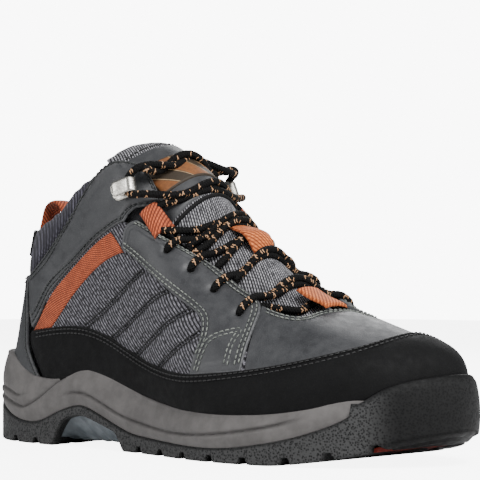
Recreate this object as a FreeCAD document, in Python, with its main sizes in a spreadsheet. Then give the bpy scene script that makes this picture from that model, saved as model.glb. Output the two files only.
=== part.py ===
"""Parametric model of one mid-height hiking boot, worn on the right foot.

Frame: millimetres, +X towards the toe, +Y towards the inside of the foot, +Z up.
The origin is on the ground, in the middle of the footprint.
"""
import FreeCAD, Part
import math
import os
from FreeCAD import Placement, Rotation, Vector

os.makedirs("parts", exist_ok=True)
doc = FreeCAD.newDocument("hiking_boot")

# ---------------------------------------------------------------- driving sizes
# The outlines below are drawn for a boot of these three sizes, and are scaled
# when the sheet's boot_length, boot_width or boot_height is changed.
DRAWN_LENGTH = 308.0
DRAWN_WIDTH = 112.0
DRAWN_HEIGHT = 164.0

DIMENSIONS = [
    ("boot_length", 308.0, "heel to toe over the outsole"),
    ("boot_width", 112.0, "widest part of the outsole"),
    ("boot_height", 164.0, "ground to the top of the tongue"),
    ("block_width", 150.0, "width of the blank that each sole slab is cut from"),
    ("slab_gap", 0.05, "gap between bonded sole layers"),
    ("lug_depth", 3.6, "depth of the grooves between lugs"),
    ("lug_groove", 4.4, "width of the grooves between lugs"),
    ("shank_thickness", 3.2, "plastic arch plate"),
    ("shank_width", 58.0, "plastic arch plate"),
    ("insert_width", 52.0, "second-colour lug plate under the toes"),
    ("insert_thickness", 2.4, "second-colour lug plate under the toes"),
    ("board_thickness", 2.0, "lasting board"),
    ("board_inset", 6.4, "lasting board edge, inside the upper's outer form"),
    ("footbed_thickness", 5.0, "removable footbed"),
    ("footbed_inset", 10.4, "footbed edge, inside the upper's outer form"),
    ("lining_inner", -5.2, "lining, inner face from the upper's outer form"),
    ("lining_outer", -3.9, "lining, outer face"),
    ("stiffener_inner", -3.4, "toe and heel stiffeners, inner face"),
    ("stiffener_outer", -2.3, "toe and heel stiffeners, outer face"),
    ("base_inner", -2.1, "vamp and side mesh, inner face"),
    ("base_outer", -0.6, "vamp and side mesh, outer face"),
    ("overlay_inner", -0.4, "leather overlays, inner face"),
    ("overlay_outer", 0.9, "leather overlays, outer face"),
    ("webbing_inner", 1.1, "webbing laid on the overlays, inner face"),
    ("webbing_outer", 2.3, "webbing laid on the overlays, outer face"),
    ("collar_inner", -8.0, "padded collar, inner face at its fullest"),
    ("tongue_thickness", 7.0, "padded tongue"),
    ("lace_diameter", 3.8, "round lace"),
    ("lace_hole_radius", 2.4, "punched lace holes"),
    ("hook_width", 9.0, "speed hook"),
    ("hook_length", 15.0, "speed hook"),
    ("hook_plate", 1.1, "speed hook sheet thickness"),
    ("hook_throat", 4.6, "space for the lace inside the speed hook"),
    ("rivet_radius", 2.8, "speed hook rivet head"),
    ("rivet_head", 0.9, "speed hook rivet head"),
    ("rivet_shaft", 1.4, "speed hook rivet shaft radius"),
    ("loop_width", 13.0, "heel pull loop webbing"),
    ("loop_thickness", 1.8, "heel pull loop webbing"),
    ("loop_radius", 9.5, "heel pull loop, outside of its bend"),
    ("loop_leg", 22.0, "heel pull loop, straight legs under the bend"),
]

sheet = doc.addObject("Spreadsheet::Sheet", "dimensions")
for row, (alias, value, meaning) in enumerate(DIMENSIONS, start=1):
    sheet.set("A%d" % row, meaning)
    sheet.set("B%d" % row, str(value))
    sheet.setAlias("B%d" % row, alias)
doc.recompute()


def size(alias):
    """The sheet's value of one driving size."""
    return float(getattr(sheet, alias))


def bind(target, prop, alias):
    """Ties one property of an object to a cell of the sheet."""
    target.setExpression(prop, "%s.%s" % (sheet.Name, alias))


SCALE = Vector(size("boot_length") / DRAWN_LENGTH, size("boot_width") / DRAWN_WIDTH,
               size("boot_height") / DRAWN_HEIGHT)


def scaled(x, y, z):
    """A drawn point, at the boot's real size."""
    return Vector(x * SCALE.x, y * SCALE.y, z * SCALE.z)


# ---------------------------------------------------------------- outer form of the upper
# Eighteen ribs stand round the foot: rib 0 at the back of the heel, ribs 1 to 8 up
# the outer side, rib 9 at the tip of the toe, ribs 10 to 17 back along the inner
# side. Each rib has five points, from the sole's edge to the mouth of the boot.
RIBS = [
    [(-146, 0, 30), (-143.5, 0, 46), (-136, 0, 72), (-132.5, 0, 98), (-129, 0, 116)],
    [(-135, -24, 30), (-132.5, -22.5, 46), (-126, -20, 72), (-123, -19, 98), (-120, -18, 117.5)],
    [(-108, -35.5, 29), (-108, -37, 46), (-107, -36, 72), (-105, -33.5, 98), (-101, -31, 121)],
    [(-60, -37, 28), (-61, -39.5, 48), (-64, -39.5, 78), (-70, -37, 112), (-77, -34, 133)],
    [(-10, -39, 24), (-12, -43, 42), (-17, -42, 75), (-30, -37, 118), (-44, -32, 153)],
    [(33, -49, 19), (32, -52.5, 36), (26, -48, 62), (14, -37, 92), (2, -26, 113)],
    [(74, -49, 18), (74, -52, 33), (68, -44.5, 52), (54, -32, 74), (38, -21, 90)],
    [(112, -37, 22), (113, -40, 37), (108, -35.5, 52), (90, -25, 67), (62, -15, 79.5)],
    [(138, -17, 27), (138, -18, 40), (132, -15.5, 54), (108, -10, 65.5), (73, -7, 77)],
    [(150, 7, 30), (149.5, 7, 43), (142, 7, 56), (115, 6, 66.5), (77, 3, 76.5)],
    [(143, 29, 29), (143, 29, 42), (136, 26, 55), (110, 18, 65.5), (73, 12, 77)],
    [(122, 42, 24), (122, 43.5, 39), (116, 39, 54), (95, 29, 67.5), (62, 19, 79.5)],
    [(89, 49, 19), (89, 51.5, 35), (82, 45, 54), (64, 34, 75), (38, 24, 90)],
    [(53, 49, 18), (50, 51, 36), (42, 45, 62), (24, 36, 93), (2, 28, 113)],
    [(3, 37, 22), (0, 41, 42), (-8, 39.5, 74), (-28, 36, 118), (-44, 32, 153)],
    [(-50, 32, 27), (-51, 36.5, 48), (-55, 38, 78), (-66, 36, 112), (-77, 34, 133)],
    [(-104, 34, 29), (-104, 36, 46), (-104, 35, 72), (-103, 33, 98), (-101, 31, 121)],
    [(-135, 23, 30), (-132.5, 22.5, 46), (-126, 20, 72), (-123, 19, 98), (-120, 18, 117.5)],
]
RIB_COUNT = len(RIBS)
RISE_COUNT = len(RIBS[0])
RELAX_ROUNDS = 40


def spline_bends(points, closed):
    """Second derivatives of the cubic spline through evenly spaced points."""
    count = len(points)
    bends = [Vector() for _ in points]
    first, last = (0, count) if closed else (1, count - 1)
    for _ in range(RELAX_ROUNDS):
        for i in range(first, last):
            before = points[i - 1]
            after = points[(i + 1) % count]
            pull = (before - points[i] * 2 + after) * 6
            bends[i] = (pull - bends[i - 1] - bends[(i + 1) % count]) * 0.25
    return bends


def spline_point(points, bends, place):
    """A point of the cubic spline; place counts from 0 at the first point."""
    count = len(points)
    start = min(int(math.floor(place)), count - 1)
    part = place - start
    rest = 1 - part
    i, j = start % count, (start + 1) % count
    return (points[i] * rest + points[j] * part
            + bends[i] * ((rest ** 3 - rest) / 6) + bends[j] * ((part ** 3 - part) / 6))


HOOPS = []
for level in range(RISE_COUNT):
    hoop = [scaled(*rib[level]) for rib in RIBS]
    HOOPS.append((hoop, spline_bends(hoop, True)))


def form_point(around, rise):
    """The upper's outer form: around runs 0 to 18 with the ribs, rise 0 to 1."""
    place = around % RIB_COUNT
    rib = [spline_point(hoop, bends, place) for hoop, bends in HOOPS]
    rise_place = max(0.0, min(rise, 1.0)) * (RISE_COUNT - 1)
    if rise_place >= RISE_COUNT - 1:
        return rib[-1]
    return spline_point(rib, spline_bends(rib, False), rise_place)


def form_normal(around, rise):
    """Outward unit normal of the outer form."""
    step = 0.01
    low = max(rise - step, 0.0)
    high = min(rise + step, 1.0)
    along = form_point(around + step, rise) - form_point(around - step, rise)
    upward = form_point(around, high) - form_point(around, low)
    normal = along.cross(upward)
    return normal.normalize()


def form_offset(around, rise, offset):
    """A point at a distance from the outer form, measured along its normal."""
    return form_point(around, rise) + form_normal(around, rise) * offset


# ---------------------------------------------------------------- solids from point grids
def grid_surface(grid):
    surface = Part.BSplineSurface()
    surface.interpolate(grid)
    return surface


def thick_sheet(outer_grid, inner_grid):
    """Closed solid between two sheets of points that have the same rows and columns."""
    outer = grid_surface(outer_grid)
    inner = grid_surface(inner_grid)
    faces = [outer.toShape(), inner.toShape()]
    u_first, u_last, v_first, v_last = outer.bounds()
    p_first, p_last, q_first, q_last = inner.bounds()
    rims = [(outer.uIso(u_first), inner.uIso(p_first)), (outer.uIso(u_last), inner.uIso(p_last)),
            (outer.vIso(v_first), inner.vIso(q_first)), (outer.vIso(v_last), inner.vIso(q_last))]
    forward = 1
    for outer_rim, inner_rim in rims:
        faces.append(Part.makeRuledSurface(outer_rim.toShape(), inner_rim.toShape(), forward))
    shell = Part.makeShell(faces)
    shell.sewShape(1e-4)
    solid = Part.makeSolid(Part.Shell(shell.Faces))
    if solid.Volume < 0:
        solid.reverse()
    return solid


def curve_through(points):
    """A smooth function of 0 to 1 through points given as pairs."""
    knots = [Vector(a, b, 0) for a, b in points]
    bends = spline_bends(knots, False) if len(knots) > 2 else [Vector()] * len(knots)
    lengths = [0.0]
    for a, b in zip(knots, knots[1:]):
        lengths.append(lengths[-1] + (b - a).Length)
    total = lengths[-1]

    def curve(share):
        target = share * total
        for i in range(len(lengths) - 1):
            if target <= lengths[i + 1] or i == len(lengths) - 2:
                local = (target - lengths[i]) / (lengths[i + 1] - lengths[i])
                return spline_point(knots, bends, min(i + local, len(knots) - 1 - 1e-9))
    return curve


def patch_function(low, high, start=None, end=None):
    """Four-sided patch between a low and a high edge, each drawn from start to end."""
    low_edge, high_edge = curve_through(low), curve_through(high)
    start_edge = curve_through(start or [low[0], high[0]])
    end_edge = curve_through(end or [low[-1], high[-1]])

    def patch(along, across):
        ruled_a = low_edge(along) * (1 - across) + high_edge(along) * across
        ruled_b = start_edge(across) * (1 - along) + end_edge(across) * along
        corners = (low_edge(0) * (1 - along) + low_edge(1) * along) * (1 - across)
        corners += (high_edge(0) * (1 - along) + high_edge(1) * along) * across
        return ruled_a + ruled_b - corners
    return patch


def add_feature(label, shape):
    """A plain feature of the document whose shape was made here."""
    feature = doc.addObject("Part::Feature", label)
    feature.Label = label
    feature.Shape = shape
    feature.Placement = Placement()
    return feature


def panel_solid(low, high, inner, outer, start=None, end=None, columns=16, rows=6, mirror=False):
    """A panel of even thickness on the outer form; its edges are (around, rise) pairs."""
    patch = patch_function(low, high, start, end)
    inner_grid, outer_grid = [], []
    for i in range(columns + 1):
        places = [patch(i / columns, j / rows) for j in range(rows + 1)]
        if mirror:
            places = [Vector(RIB_COUNT - p.x, p.y, 0) for p in places]
        inner_grid.append([form_offset(p.x, p.y, inner) for p in places])
        outer_grid.append([form_offset(p.x, p.y, outer) for p in places])
    return thick_sheet(outer_grid, inner_grid)


# ---------------------------------------------------------------- sole: outlines and side profiles
# Ground plan of the sole, from the back of the heel along the outer side to the toe
# and back along the inner side.
SOLE_PLAN = [(-152, 0), (-139, -27), (-108, -41), (-60, -43), (-10, -45.5), (35, -54.5),
             (75, -54.5), (115, -41.5), (142, -19.5), (155.5, 8), (148, 31), (125, 46.5),
             (90, 54.5), (55, 54.5), (5, 44.5), (-50, 42), (-105, 41), (-139, 27)]

# Side profiles, as (x, z) from the heel to the toe.
WALL_TOP = [(-154, 50), (-135, 49.5), (-120, 46.5), (-104, 38.8), (-89, 35.7), (-73, 36.5),
            (-62, 40.2), (-52, 42), (-45, 41.4), (-33, 37.8), (-9, 30.1), (16, 25.8),
            (54, 23.8), (90, 26.6), (118, 31.2), (131, 32)]
WALL_FOOT = [(-154, 24), (-132, 19.3), (-117, 14), (-101, 11.4), (-88, 12.9), (-73, 18.5),
             (-60, 21.7), (-48, 20.2), (-23, 11.4), (0, 8), (40, 6.4), (70, 7.8), (97, 12.8),
             (115, 18.8), (125, 24.6), (131, 32)]
BUMPER_TOP = [(131, 32), (135, 35.2), (140, 38.5), (145, 40.6), (150, 42), (158, 43.8)]
SEAT = [(-154, 29.6), (-108, 28.4), (-60, 27.4), (-10, 23.2), (33, 18.3), (74, 17.4),
        (112, 21.3), (138, 26.4), (158, 30.5)]
ARCH = [(-79.5, 0), (-76, 6.5), (-71, 12.8), (-65, 15.6), (-58, 16.7), (-50, 15.8), (-34, 11.2),
        (-27, 8.2), (-22, 0)]
TREAD_BACK = (-150, 5)
TREAD_HEEL = -145
TOE_SPRING_START = 84
TOE_SPRING_END = 158
TOE_SPRING_RISE = 14.6
TOE_SPRING_POWER = 1.6
HEEL_GROOVES = [-132, -112, -93]
FORE_GROOVES = [-8, 12, 32, 53, 74, 96]


def origin_feature(body, role):
    """One of the body's own origin planes."""
    for feature in body.Origin.OriginFeatures:
        if feature.Role == role:
            return feature
    raise ValueError("no plane " + role)


def add_sketch(body, name, role, geometry):
    sketch = body.newObject("Sketcher::SketchObject", name)
    sketch.AttachmentSupport = [(origin_feature(body, role), "")]
    sketch.MapMode = "FlatFace"
    for piece in geometry:
        sketch.addGeometry(piece, False)
    return sketch


def closed_spline(points):
    curve = Part.BSplineCurve()
    curve.interpolate(points, PeriodicFlag=True)
    return curve


def open_spline(points):
    curve = Part.BSplineCurve()
    curve.interpolate(points)
    return curve


def polyline(points):
    return [Part.LineSegment(a, b) for a, b in zip(points, points[1:])]


def profile_points(pairs, lift=0.0):
    """Side-profile points in a sketch on the XZ plane."""
    return [Vector(x * SCALE.x, z * SCALE.z + lift, 0) for x, z in pairs]


def plan_points(pairs):
    return [Vector(x * SCALE.x, y * SCALE.y, 0) for x, y in pairs]


def inner_outline(inset):
    """Plan outline that follows the foot of the upper, moved inwards by inset."""
    points = []
    for i in range(2 * RIB_COUNT):
        point = form_offset(i / 2, 0.0, 0.0)
        normal = form_normal(i / 2, 0.12)
        flat = Vector(normal.x, normal.y, 0).normalize()
        points.append(Vector(point.x, point.y, 0) - flat * inset)
    return points


def seat_outline(clearance):
    """Plan outline of the seat: just outside the widest part of the upper below the wall top."""
    points = []
    for i in range(2 * RIB_COUNT):
        normal = form_normal(i / 2, 0.12)
        flat = Vector(normal.x, normal.y, 0).normalize()
        reach = []
        for step in range(7):
            candidate = form_point(i / 2, step * 0.04)
            reach.append((candidate.dot(flat), candidate))
        widest = max(reach, key=lambda pair: pair[0])[1]
        points.append(Vector(widest.x, widest.y, 0) + flat * clearance)
    return points


def slab(name, side_profile, outline, width_alias="block_width"):
    """A sole layer: its side profile padded across the boot, then trimmed to a plan outline."""
    body = doc.addObject("PartDesign::Body", name)
    side = add_sketch(body, name + "_side", "XZ_Plane", side_profile)
    pad = body.newObject("PartDesign::Pad", name + "_blank")
    pad.Profile = side
    pad.SideType = "Symmetric"
    bind(pad, "Length", width_alias)
    doc.recompute()
    blank_volume = pad.Shape.Volume
    if outline:
        reach = size("boot_length")
        frame = polyline([Vector(-reach, -reach, 0), Vector(reach, -reach, 0), Vector(reach, reach, 0),
                          Vector(-reach, reach, 0), Vector(-reach, -reach, 0)])
        plan = add_sketch(body, name + "_plan", "XY_Plane", frame + [closed_spline(outline)])
        trim = body.newObject("PartDesign::Pocket", name + "_trim")
        trim.Profile = plan
        trim.Type = "ThroughAll"
        trim.SideType = "Symmetric"
        body.Tip = trim
        doc.recompute()
        assert trim.Shape.Volume < blank_volume, name + " was not trimmed to its outline"
    return body


def toe_spring(x):
    """Height of the tread above the ground."""
    share = max(0.0, (x - TOE_SPRING_START) / (TOE_SPRING_END - TOE_SPRING_START))
    return TOE_SPRING_RISE * share ** TOE_SPRING_POWER


def groove(x):
    """Four tread points that cross one groove between lugs."""
    depth, width, slope = size("lug_depth"), size("lug_groove"), 0.6
    return [(x, toe_spring(x)), (x + slope, toe_spring(x) + depth),
            (x + width - slope, toe_spring(x + width) + depth), (x + width, toe_spring(x + width))]


def tread_points():
    points = [TREAD_BACK, (TREAD_HEEL, 0)]
    for x in HEEL_GROOVES:
        points += groove(x)
    points += ARCH
    for x in FORE_GROOVES:
        points += groove(x)
    for x in (120, 132, 142, 150, TOE_SPRING_END):
        points.append((x, toe_spring(x)))
    return points


sole_outline = plan_points(SOLE_PLAN)

# Seat: the hollow in the top of the sole that takes the lasted upper.
seat_line = profile_points(SEAT)
seat_rise = 45
seat_top = [Vector(seat_line[-1].x, seat_line[-1].y + seat_rise, 0),
            Vector(seat_line[0].x, seat_line[0].y + seat_rise, 0)]
seat_side = [open_spline(seat_line)] + polyline([seat_line[-1]] + seat_top + [seat_line[0]])
seat_clearance = size("overlay_outer") + 0.25


def seat_tool(name):
    return slab(name, seat_side, seat_outline(seat_clearance))


# Midsole: cushioning layer between the wall top and the wall foot.
top_line = profile_points(WALL_TOP)
foot_line = profile_points(WALL_FOOT)
midsole_side = [open_spline(top_line), open_spline(foot_line)] + polyline([foot_line[0], top_line[0]])
midsole_block = slab("midsole_block", midsole_side, sole_outline)
midsole = doc.addObject("Part::Cut", "midsole")
midsole.Base = midsole_block
midsole.Tool = seat_tool("midsole_seat")

# Outsole: rubber from the ground to the wall foot, carried up over the toe as a bumper.
under = -size("slab_gap")
outsole_top = profile_points(WALL_FOOT, under)
bumper = profile_points(BUMPER_TOP, under)
tread = profile_points(tread_points())
outsole_side = [open_spline(outsole_top), open_spline(bumper)]
outsole_side += polyline([bumper[-1]] + tread[::-1] + [outsole_top[0]])
outsole_block = slab("outsole_block", outsole_side, sole_outline)
outsole_seated = doc.addObject("Part::Cut", "outsole_seated")
outsole_seated.Base = outsole_block
outsole_seated.Tool = seat_tool("outsole_seat")

# Second-colour lug plate let into the tread under the toes.
INSERT_SPAN = (104, 134)
INSERT_CLEARANCE = 0.1


def insert_profile(clearance, below):
    first, last = INSERT_SPAN[0] - clearance, INSERT_SPAN[1] + clearance
    stations = [first, (first + last) / 2, last]
    lift = size("insert_thickness") + clearance
    low = [Vector(x * SCALE.x, toe_spring(x) * SCALE.z - below, 0) for x in stations]
    high = [Vector(x * SCALE.x, toe_spring(x) * SCALE.z + lift, 0) for x in stations[::-1]]
    return polyline(low + high + [low[0]])


def insert_block(name, clearance, below):
    body = slab(name, insert_profile(clearance, below), None, "insert_width")
    if clearance:
        pad = body.Tip
        pad.setExpression("Length", "%s.insert_width + %g" % (sheet.Name, 2 * clearance))
    return body


forefoot_insert = insert_block("forefoot_insert", 0.0, -0.3)
outsole = doc.addObject("Part::Cut", "outsole")
outsole.Base = outsole_seated
outsole.Tool = insert_block("insert_pocket", INSERT_CLEARANCE, 3.0)

# Arch shank: plastic plate that follows the roof of the arch under the rubber.
SHANK = [(-74, 8.6), (-71, 11.9), (-65, 15.0), (-58, 16.2), (-50, 15.3), (-34, 10.7), (-27.6, 7.8)]
shank_high = profile_points(SHANK, -0.1)
shank_low = profile_points(SHANK, -0.1 - size("shank_thickness"))
shank_side = [open_spline(shank_high), open_spline(shank_low)]
shank_side += polyline([shank_high[0], shank_low[0]]) + polyline([shank_high[-1], shank_low[-1]])
shank_plate = slab("shank_plate", shank_side, None, "shank_width")


def inner_layer(name, lift, thickness, inset):
    """A board or footbed that lies in the seat, lift above its floor."""
    low = profile_points(SEAT, lift)
    high = profile_points(SEAT, lift + thickness)
    side = [open_spline(low), open_spline(high)]
    side += polyline([low[0], high[0]]) + polyline([low[-1], high[-1]])
    return slab(name, side, inner_outline(inset))


LAYER_GAP = 0.2
lasting_board = inner_layer("lasting_board", LAYER_GAP, size("board_thickness"), size("board_inset"))
footbed_lift = size("board_thickness") + 2 * LAYER_GAP
footbed = inner_layer("footbed", footbed_lift, size("footbed_thickness"), size("footbed_inset"))

# ---------------------------------------------------------------- upper: seam lines
# Seams are drawn on the outer form as (around, rise) pairs for the outer side; the
# inner side mirrors them.
FOOT = 0.03
SEAM = 0.012
RAND_TOP = [(2.17, .392), (2.68, .397), (3.30, .385), (3.96, .331), (4.55, .309), (5.14, .331),
            (5.92, .410), (6.76, .485), (7.54, .561), (8.20, .622), (9.0, .650)]
EYESTAY_LOW = [(3.96, .672), (4.35, .644), (4.76, .632), (5.16, .623), (5.31, .586), (5.28, .500),
               (5.19, .420), (5.14, .355)]
EYESTAY_FRONT = [(6.28, .836), (6.15, .699), (6.00, .586), (5.92, .502), (5.88, .420)]


def mirrored(points):
    """The same line on the other side of the boot, drawn the other way."""
    return [(RIB_COUNT - a, b) for a, b in reversed(points)]


def overlay(label, low, high, **options):
    return add_feature(label, panel_solid(low, high, size("overlay_inner"), size("overlay_outer"),
                                          **options))


def base_panel(label, low, high, **options):
    return add_feature(label, panel_solid(low, high, size("base_inner"), size("base_outer"), **options))


SIDES = (("lateral", False), ("medial", True))

# Rubberised rand round the foot of the upper, from one heel seam to the other.
rand_top = RAND_TOP + mirrored(RAND_TOP[:-1])
rand_start = [(2.45, .03), (2.29, .226), (2.18, .326), (2.17, .392)]
rand_end = [(RIB_COUNT - a, b) for a, b in rand_start]
rand_foot = [(2.45 + i * (RIB_COUNT - 4.9) / 8, FOOT) for i in range(9)]
rand = add_feature("rand", panel_solid(
    rand_foot, rand_top, size("overlay_inner"), size("overlay_outer"), start=rand_start, end=rand_end, columns=56, rows=6))

# Heel strip: leather backstay between the two ends of the rand.
heel_low = [(-2.38, FOOT), (-1.2, FOOT), (0, FOOT), (1.2, FOOT), (2.38, FOOT)]
heel_high = [(-1.84, .680), (-1.0, .676), (0, .674), (1.0, .676), (1.84, .680)]
heel_end = [(2.38, .03), (2.19, .226), (2.08, .326), (2.05, .452), (1.95, .552), (1.84, .680)]
heel_start = [(-a, b) for a, b in heel_end]
heel_strip = overlay("heel_strip", heel_low, heel_high, start=heel_start, end=heel_end, columns=24, rows=8)

# Padded collar: fullest in the middle of its height, thin at its seam and rim.
COLLAR_FRONT = 4.05
COLLAR_SEAM_BACK, COLLAR_SEAM_CLIMB = 0.675, 0.285
COLLAR_LEVEL_SHARE = 0.42
COLLAR_RIM = 0.995
COLLAR_OUTER_DEPTH, COLLAR_BULGE, COLLAR_THIN_INNER = -0.6, 1.2, -2.2
collar_columns, collar_rows = 36, 8


def collar_seam_rise(around):
    """Height of the collar's lower seam at one place round the ankle."""
    spread = min(abs(around) / COLLAR_FRONT, 1.0)
    climb = max(0.0, (spread - COLLAR_LEVEL_SHARE) / (1 - COLLAR_LEVEL_SHARE))
    return COLLAR_SEAM_BACK + COLLAR_SEAM_CLIMB * climb ** 0.75


collar_outer, collar_inner = [], []
for i in range(collar_columns + 1):
    around = -COLLAR_FRONT + 2 * COLLAR_FRONT * i / collar_columns
    seam = collar_seam_rise(around) + SEAM
    outer_row, inner_row = [], []
    for j in range(collar_rows + 1):
        share = j / collar_rows
        rise = seam + (COLLAR_RIM - seam) * share
        fullness = math.sin(math.pi * (0.06 + 0.88 * share)) ** 0.6
        swell = (size("collar_inner") - COLLAR_THIN_INNER) * fullness
        outer_row.append(form_offset(around, rise, COLLAR_OUTER_DEPTH + COLLAR_BULGE * fullness))
        inner_row.append(form_offset(around, rise, COLLAR_THIN_INNER + swell))
    collar_outer.append(outer_row)
    collar_inner.append(inner_row)
collar_padding = add_feature("collar_padding", thick_sheet(collar_outer, collar_inner))

# Toe puff and heel counter: stiffeners hidden between the lining and the leather.
toe_puff_low = [(7.4 + i * 0.8, 0.05) for i in range(5)]
toe_puff_high = [(7.7, .50), (8.3, .60), (9.0, .64), (9.7, .60), (10.3, .50)]
toe_puff = add_feature("toe_puff", panel_solid(toe_puff_low, toe_puff_high, size("stiffener_inner"),
                                               size("stiffener_outer")))
counter_low = [(-2.2 + i * 1.1, 0.05) for i in range(5)]
counter_high = [(-1.7, .40), (-1.0, .56), (0, .60), (1.0, .56), (1.7, .40)]
heel_counter = add_feature("heel_counter", panel_solid(counter_low, counter_high,
                                                       size("stiffener_inner"), size("stiffener_outer")))

# Vamp: leather over the toes, from the sole to the front of the throat.
vamp_high = [(6.34, .835), (6.62, .815), (6.95, .825), (7.32, .874), (7.93, .930), (9.0, .950)]
vamp_high += mirrored(vamp_high[:-1])
vamp_low = [(5.95 + i * (RIB_COUNT - 11.9) / 6, FOOT) for i in range(7)]
vamp_start = [(5.95, FOOT), (5.98, .25), (6.06, .50), (6.20, .69), (6.34, .835)]
vamp_end = [(RIB_COUNT - a, b) for a, b in vamp_start]
vamp = base_panel("vamp", vamp_low, vamp_high, start=vamp_start, end=vamp_end, columns=32, rows=10)

LACE_HOLES = [(4.78, .800), (5.15, .815), (5.52, .790), (5.90, .715)]
EYESTAY_TOP = [(4.30, .800), (4.62, .830), (4.89, .876), (5.30, .955), (5.70, .968), (6.05, .905),
               (6.26, .850)]

for side, mirror in SIDES:
    # Lining: the soft inner sleeve, in two halves that meet at the toe and the heel.
    lining_low = [(0.03 + i * 8.94 / 8, FOOT) for i in range(9)]
    lining_high = [(0.03, .63), (1.0, .63), (1.9, .66), (2.9, .80), (3.6, .90), (4.3, .79), (5.0, .87),
                   (5.6, .93), (6.2, .84), (6.8, .81), (7.6, .88), (8.97, .93)]
    add_feature("lining_" + side, panel_solid(lining_low, lining_high, size("lining_inner"),
                                              size("lining_outer"), columns=44, rows=10, mirror=mirror))

    # Side mesh: textile between the heel strip and the vamp, under the overlays.
    mesh_low = [(2.46, FOOT), (3.3, FOOT), (4.2, FOOT), (5.1, FOOT), (5.90, FOOT)]
    mesh_high = [(2.75, .595), (3.4, .700), (4.1, .745), (4.8, .735), (5.4, .700), (5.96, .60)]
    mesh_end = [(5.90, FOOT), (5.92, .25), (5.96, .60)]
    mesh_start = [(2.46, FOOT), (2.42, .30), (2.75, .595)]
    base_panel("side_mesh_" + side, mesh_low, mesh_high, start=mesh_start, end=mesh_end,
               columns=28, mirror=mirror)

    # Ankle panel: leather from the heel strip up to the first hook.
    ankle_low = [(2.20, .412), (2.36, .462), (2.55, .545), (2.78, .594), (3.04, .636), (3.38, .682),
                 (3.66, .712), (4.05, .760)]
    ankle_start = [(2.20, .412), (2.15, .452), (2.07, .552), (1.96, .690)]
    ankle_end = [(4.05, .760), (4.30, .850), (4.42, .930), (4.12, .985)]
    ankle_high = [(1.96, .690), (2.39, .738), (2.92, .820), (3.33, .885), (3.65, .928), (3.95, .958),
                  (4.12, .985)]
    overlay("ankle_panel_" + side, ankle_low, ankle_high, start=ankle_start, end=ankle_end,
            columns=24, mirror=mirror)

    # Accent stripe: webbing from the rand up to the eyestay.
    stripe_low = [(2.58, .412), (2.77, .460), (2.97, .519), (3.23, .573), (3.55, .619), (3.90, .650)]
    stripe_high = [(2.30, .412), (2.37, .447), (2.56, .527), (2.79, .577), (3.04, .618), (3.38, .664),
                   (3.66, .694)]
    overlay("accent_stripe_" + side, stripe_low, stripe_high, columns=20, rows=4, mirror=mirror)

    # Eyestay: leather facing with the punched lace holes, turned down to the rand in front.
    eyestay_rear = [(3.96, .672), (4.08, .740), (4.30, .800)]
    eyestay_high = EYESTAY_TOP + EYESTAY_FRONT[1:]
    eyestay_foot = [(5.14, .355), (5.5, .385), (5.88, .420)]
    facing = panel_solid(EYESTAY_LOW, eyestay_high, size("overlay_inner"), size("overlay_outer"),
                         start=eyestay_rear, end=eyestay_foot, columns=32, rows=8, mirror=mirror)
    for around, rise in LACE_HOLES:
        place = RIB_COUNT - around if mirror else around
        normal = form_normal(place, rise)
        bottom = form_offset(place, rise, size("overlay_inner") - 2)
        punch = Part.makeCylinder(size("lace_hole_radius"), 8, bottom, normal)
        facing = facing.cut(punch)
    add_feature("eyestay_" + side, facing)

    # Webbing loop: the lace guide between the holes and the hook.
    loop = panel_solid([(4.28, .820), (4.48, .800)], [(4.42, .905), (4.62, .890)],
                       size("webbing_inner"), size("webbing_outer"), columns=6, rows=4, mirror=mirror)
    add_feature("lace_loop_" + side, loop)

# ---------------------------------------------------------------- tongue
# Ridge of the tongue as (x, z), from its sewn root under the vamp to its top.
TONGUE_RIDGE = [(92, 60), (80, 66.5), (68, 76), (56, 87), (44, 97), (30, 107), (16, 119), (4, 132),
                (-8, 144), (-21, 153), (-34, 159.5), (-47, 162)]
TONGUE_HALF_WIDTH = [(0, 12), (.15, 15), (.35, 21), (.6, 26), (.85, 24), (1, 19)]
TONGUE_CROWN = [(0, .030), (.3, .034), (.6, .030), (1, .012)]
TONGUE_PADDED_FROM = 0.25
ridge_knots = [scaled(x, 0, z) for x, z in TONGUE_RIDGE]
ridge_bends = spline_bends(ridge_knots, False)


def table_value(table, share):
    """Straight-line reading of a small table of pairs."""
    for (a, low), (b, high) in zip(table, table[1:]):
        if share <= b:
            return low + (high - low) * (share - a) / (b - a)
    return table[-1][1]


def tongue_point(share, side):
    """The tongue's outer face: share runs 0 at the root to 1 at the top, side -1 to 1."""
    place = min(share, 1 - 1e-9) * (len(ridge_knots) - 1)
    ridge = spline_point(ridge_knots, ridge_bends, place)
    y = side * table_value(TONGUE_HALF_WIDTH, share) * SCALE.y
    drop = table_value(TONGUE_CROWN, share) * y * y
    return Vector(ridge.x - 0.45 * drop, y, ridge.z - drop)


def tongue_normal(share, side):
    step = 0.01
    along = tongue_point(min(share + step, 1), side) - tongue_point(max(share - step, 0), side)
    across = tongue_point(share, side + step) - tongue_point(share, side - step)
    normal = across.cross(along)
    if normal.z < 0:
        normal = normal * -1
    return normal.normalize()


def tongue_fill(share):
    """Padding of the tongue as a share of its full thickness: thin at its sewn root."""
    return 0.35 + 0.65 * min(1.0, share / TONGUE_PADDED_FROM)


def tongue_sheet(first, last, reach, inner, outer, columns=14, rows=10):
    """A solid that lies on the tongue between two shares of its length."""
    inner_grid, outer_grid = [], []
    for i in range(columns + 1):
        share = first + (last - first) * i / columns
        inner_row, outer_row = [], []
        for j in range(rows + 1):
            side = reach * (-1 + 2 * j / rows)
            point, normal = tongue_point(share, side), tongue_normal(share, side)
            inner_row.append(point + normal * inner * tongue_fill(share))
            outer_row.append(point + normal * outer)
        inner_grid.append(inner_row)
        outer_grid.append(outer_row)
    return thick_sheet(outer_grid, inner_grid)


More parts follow.
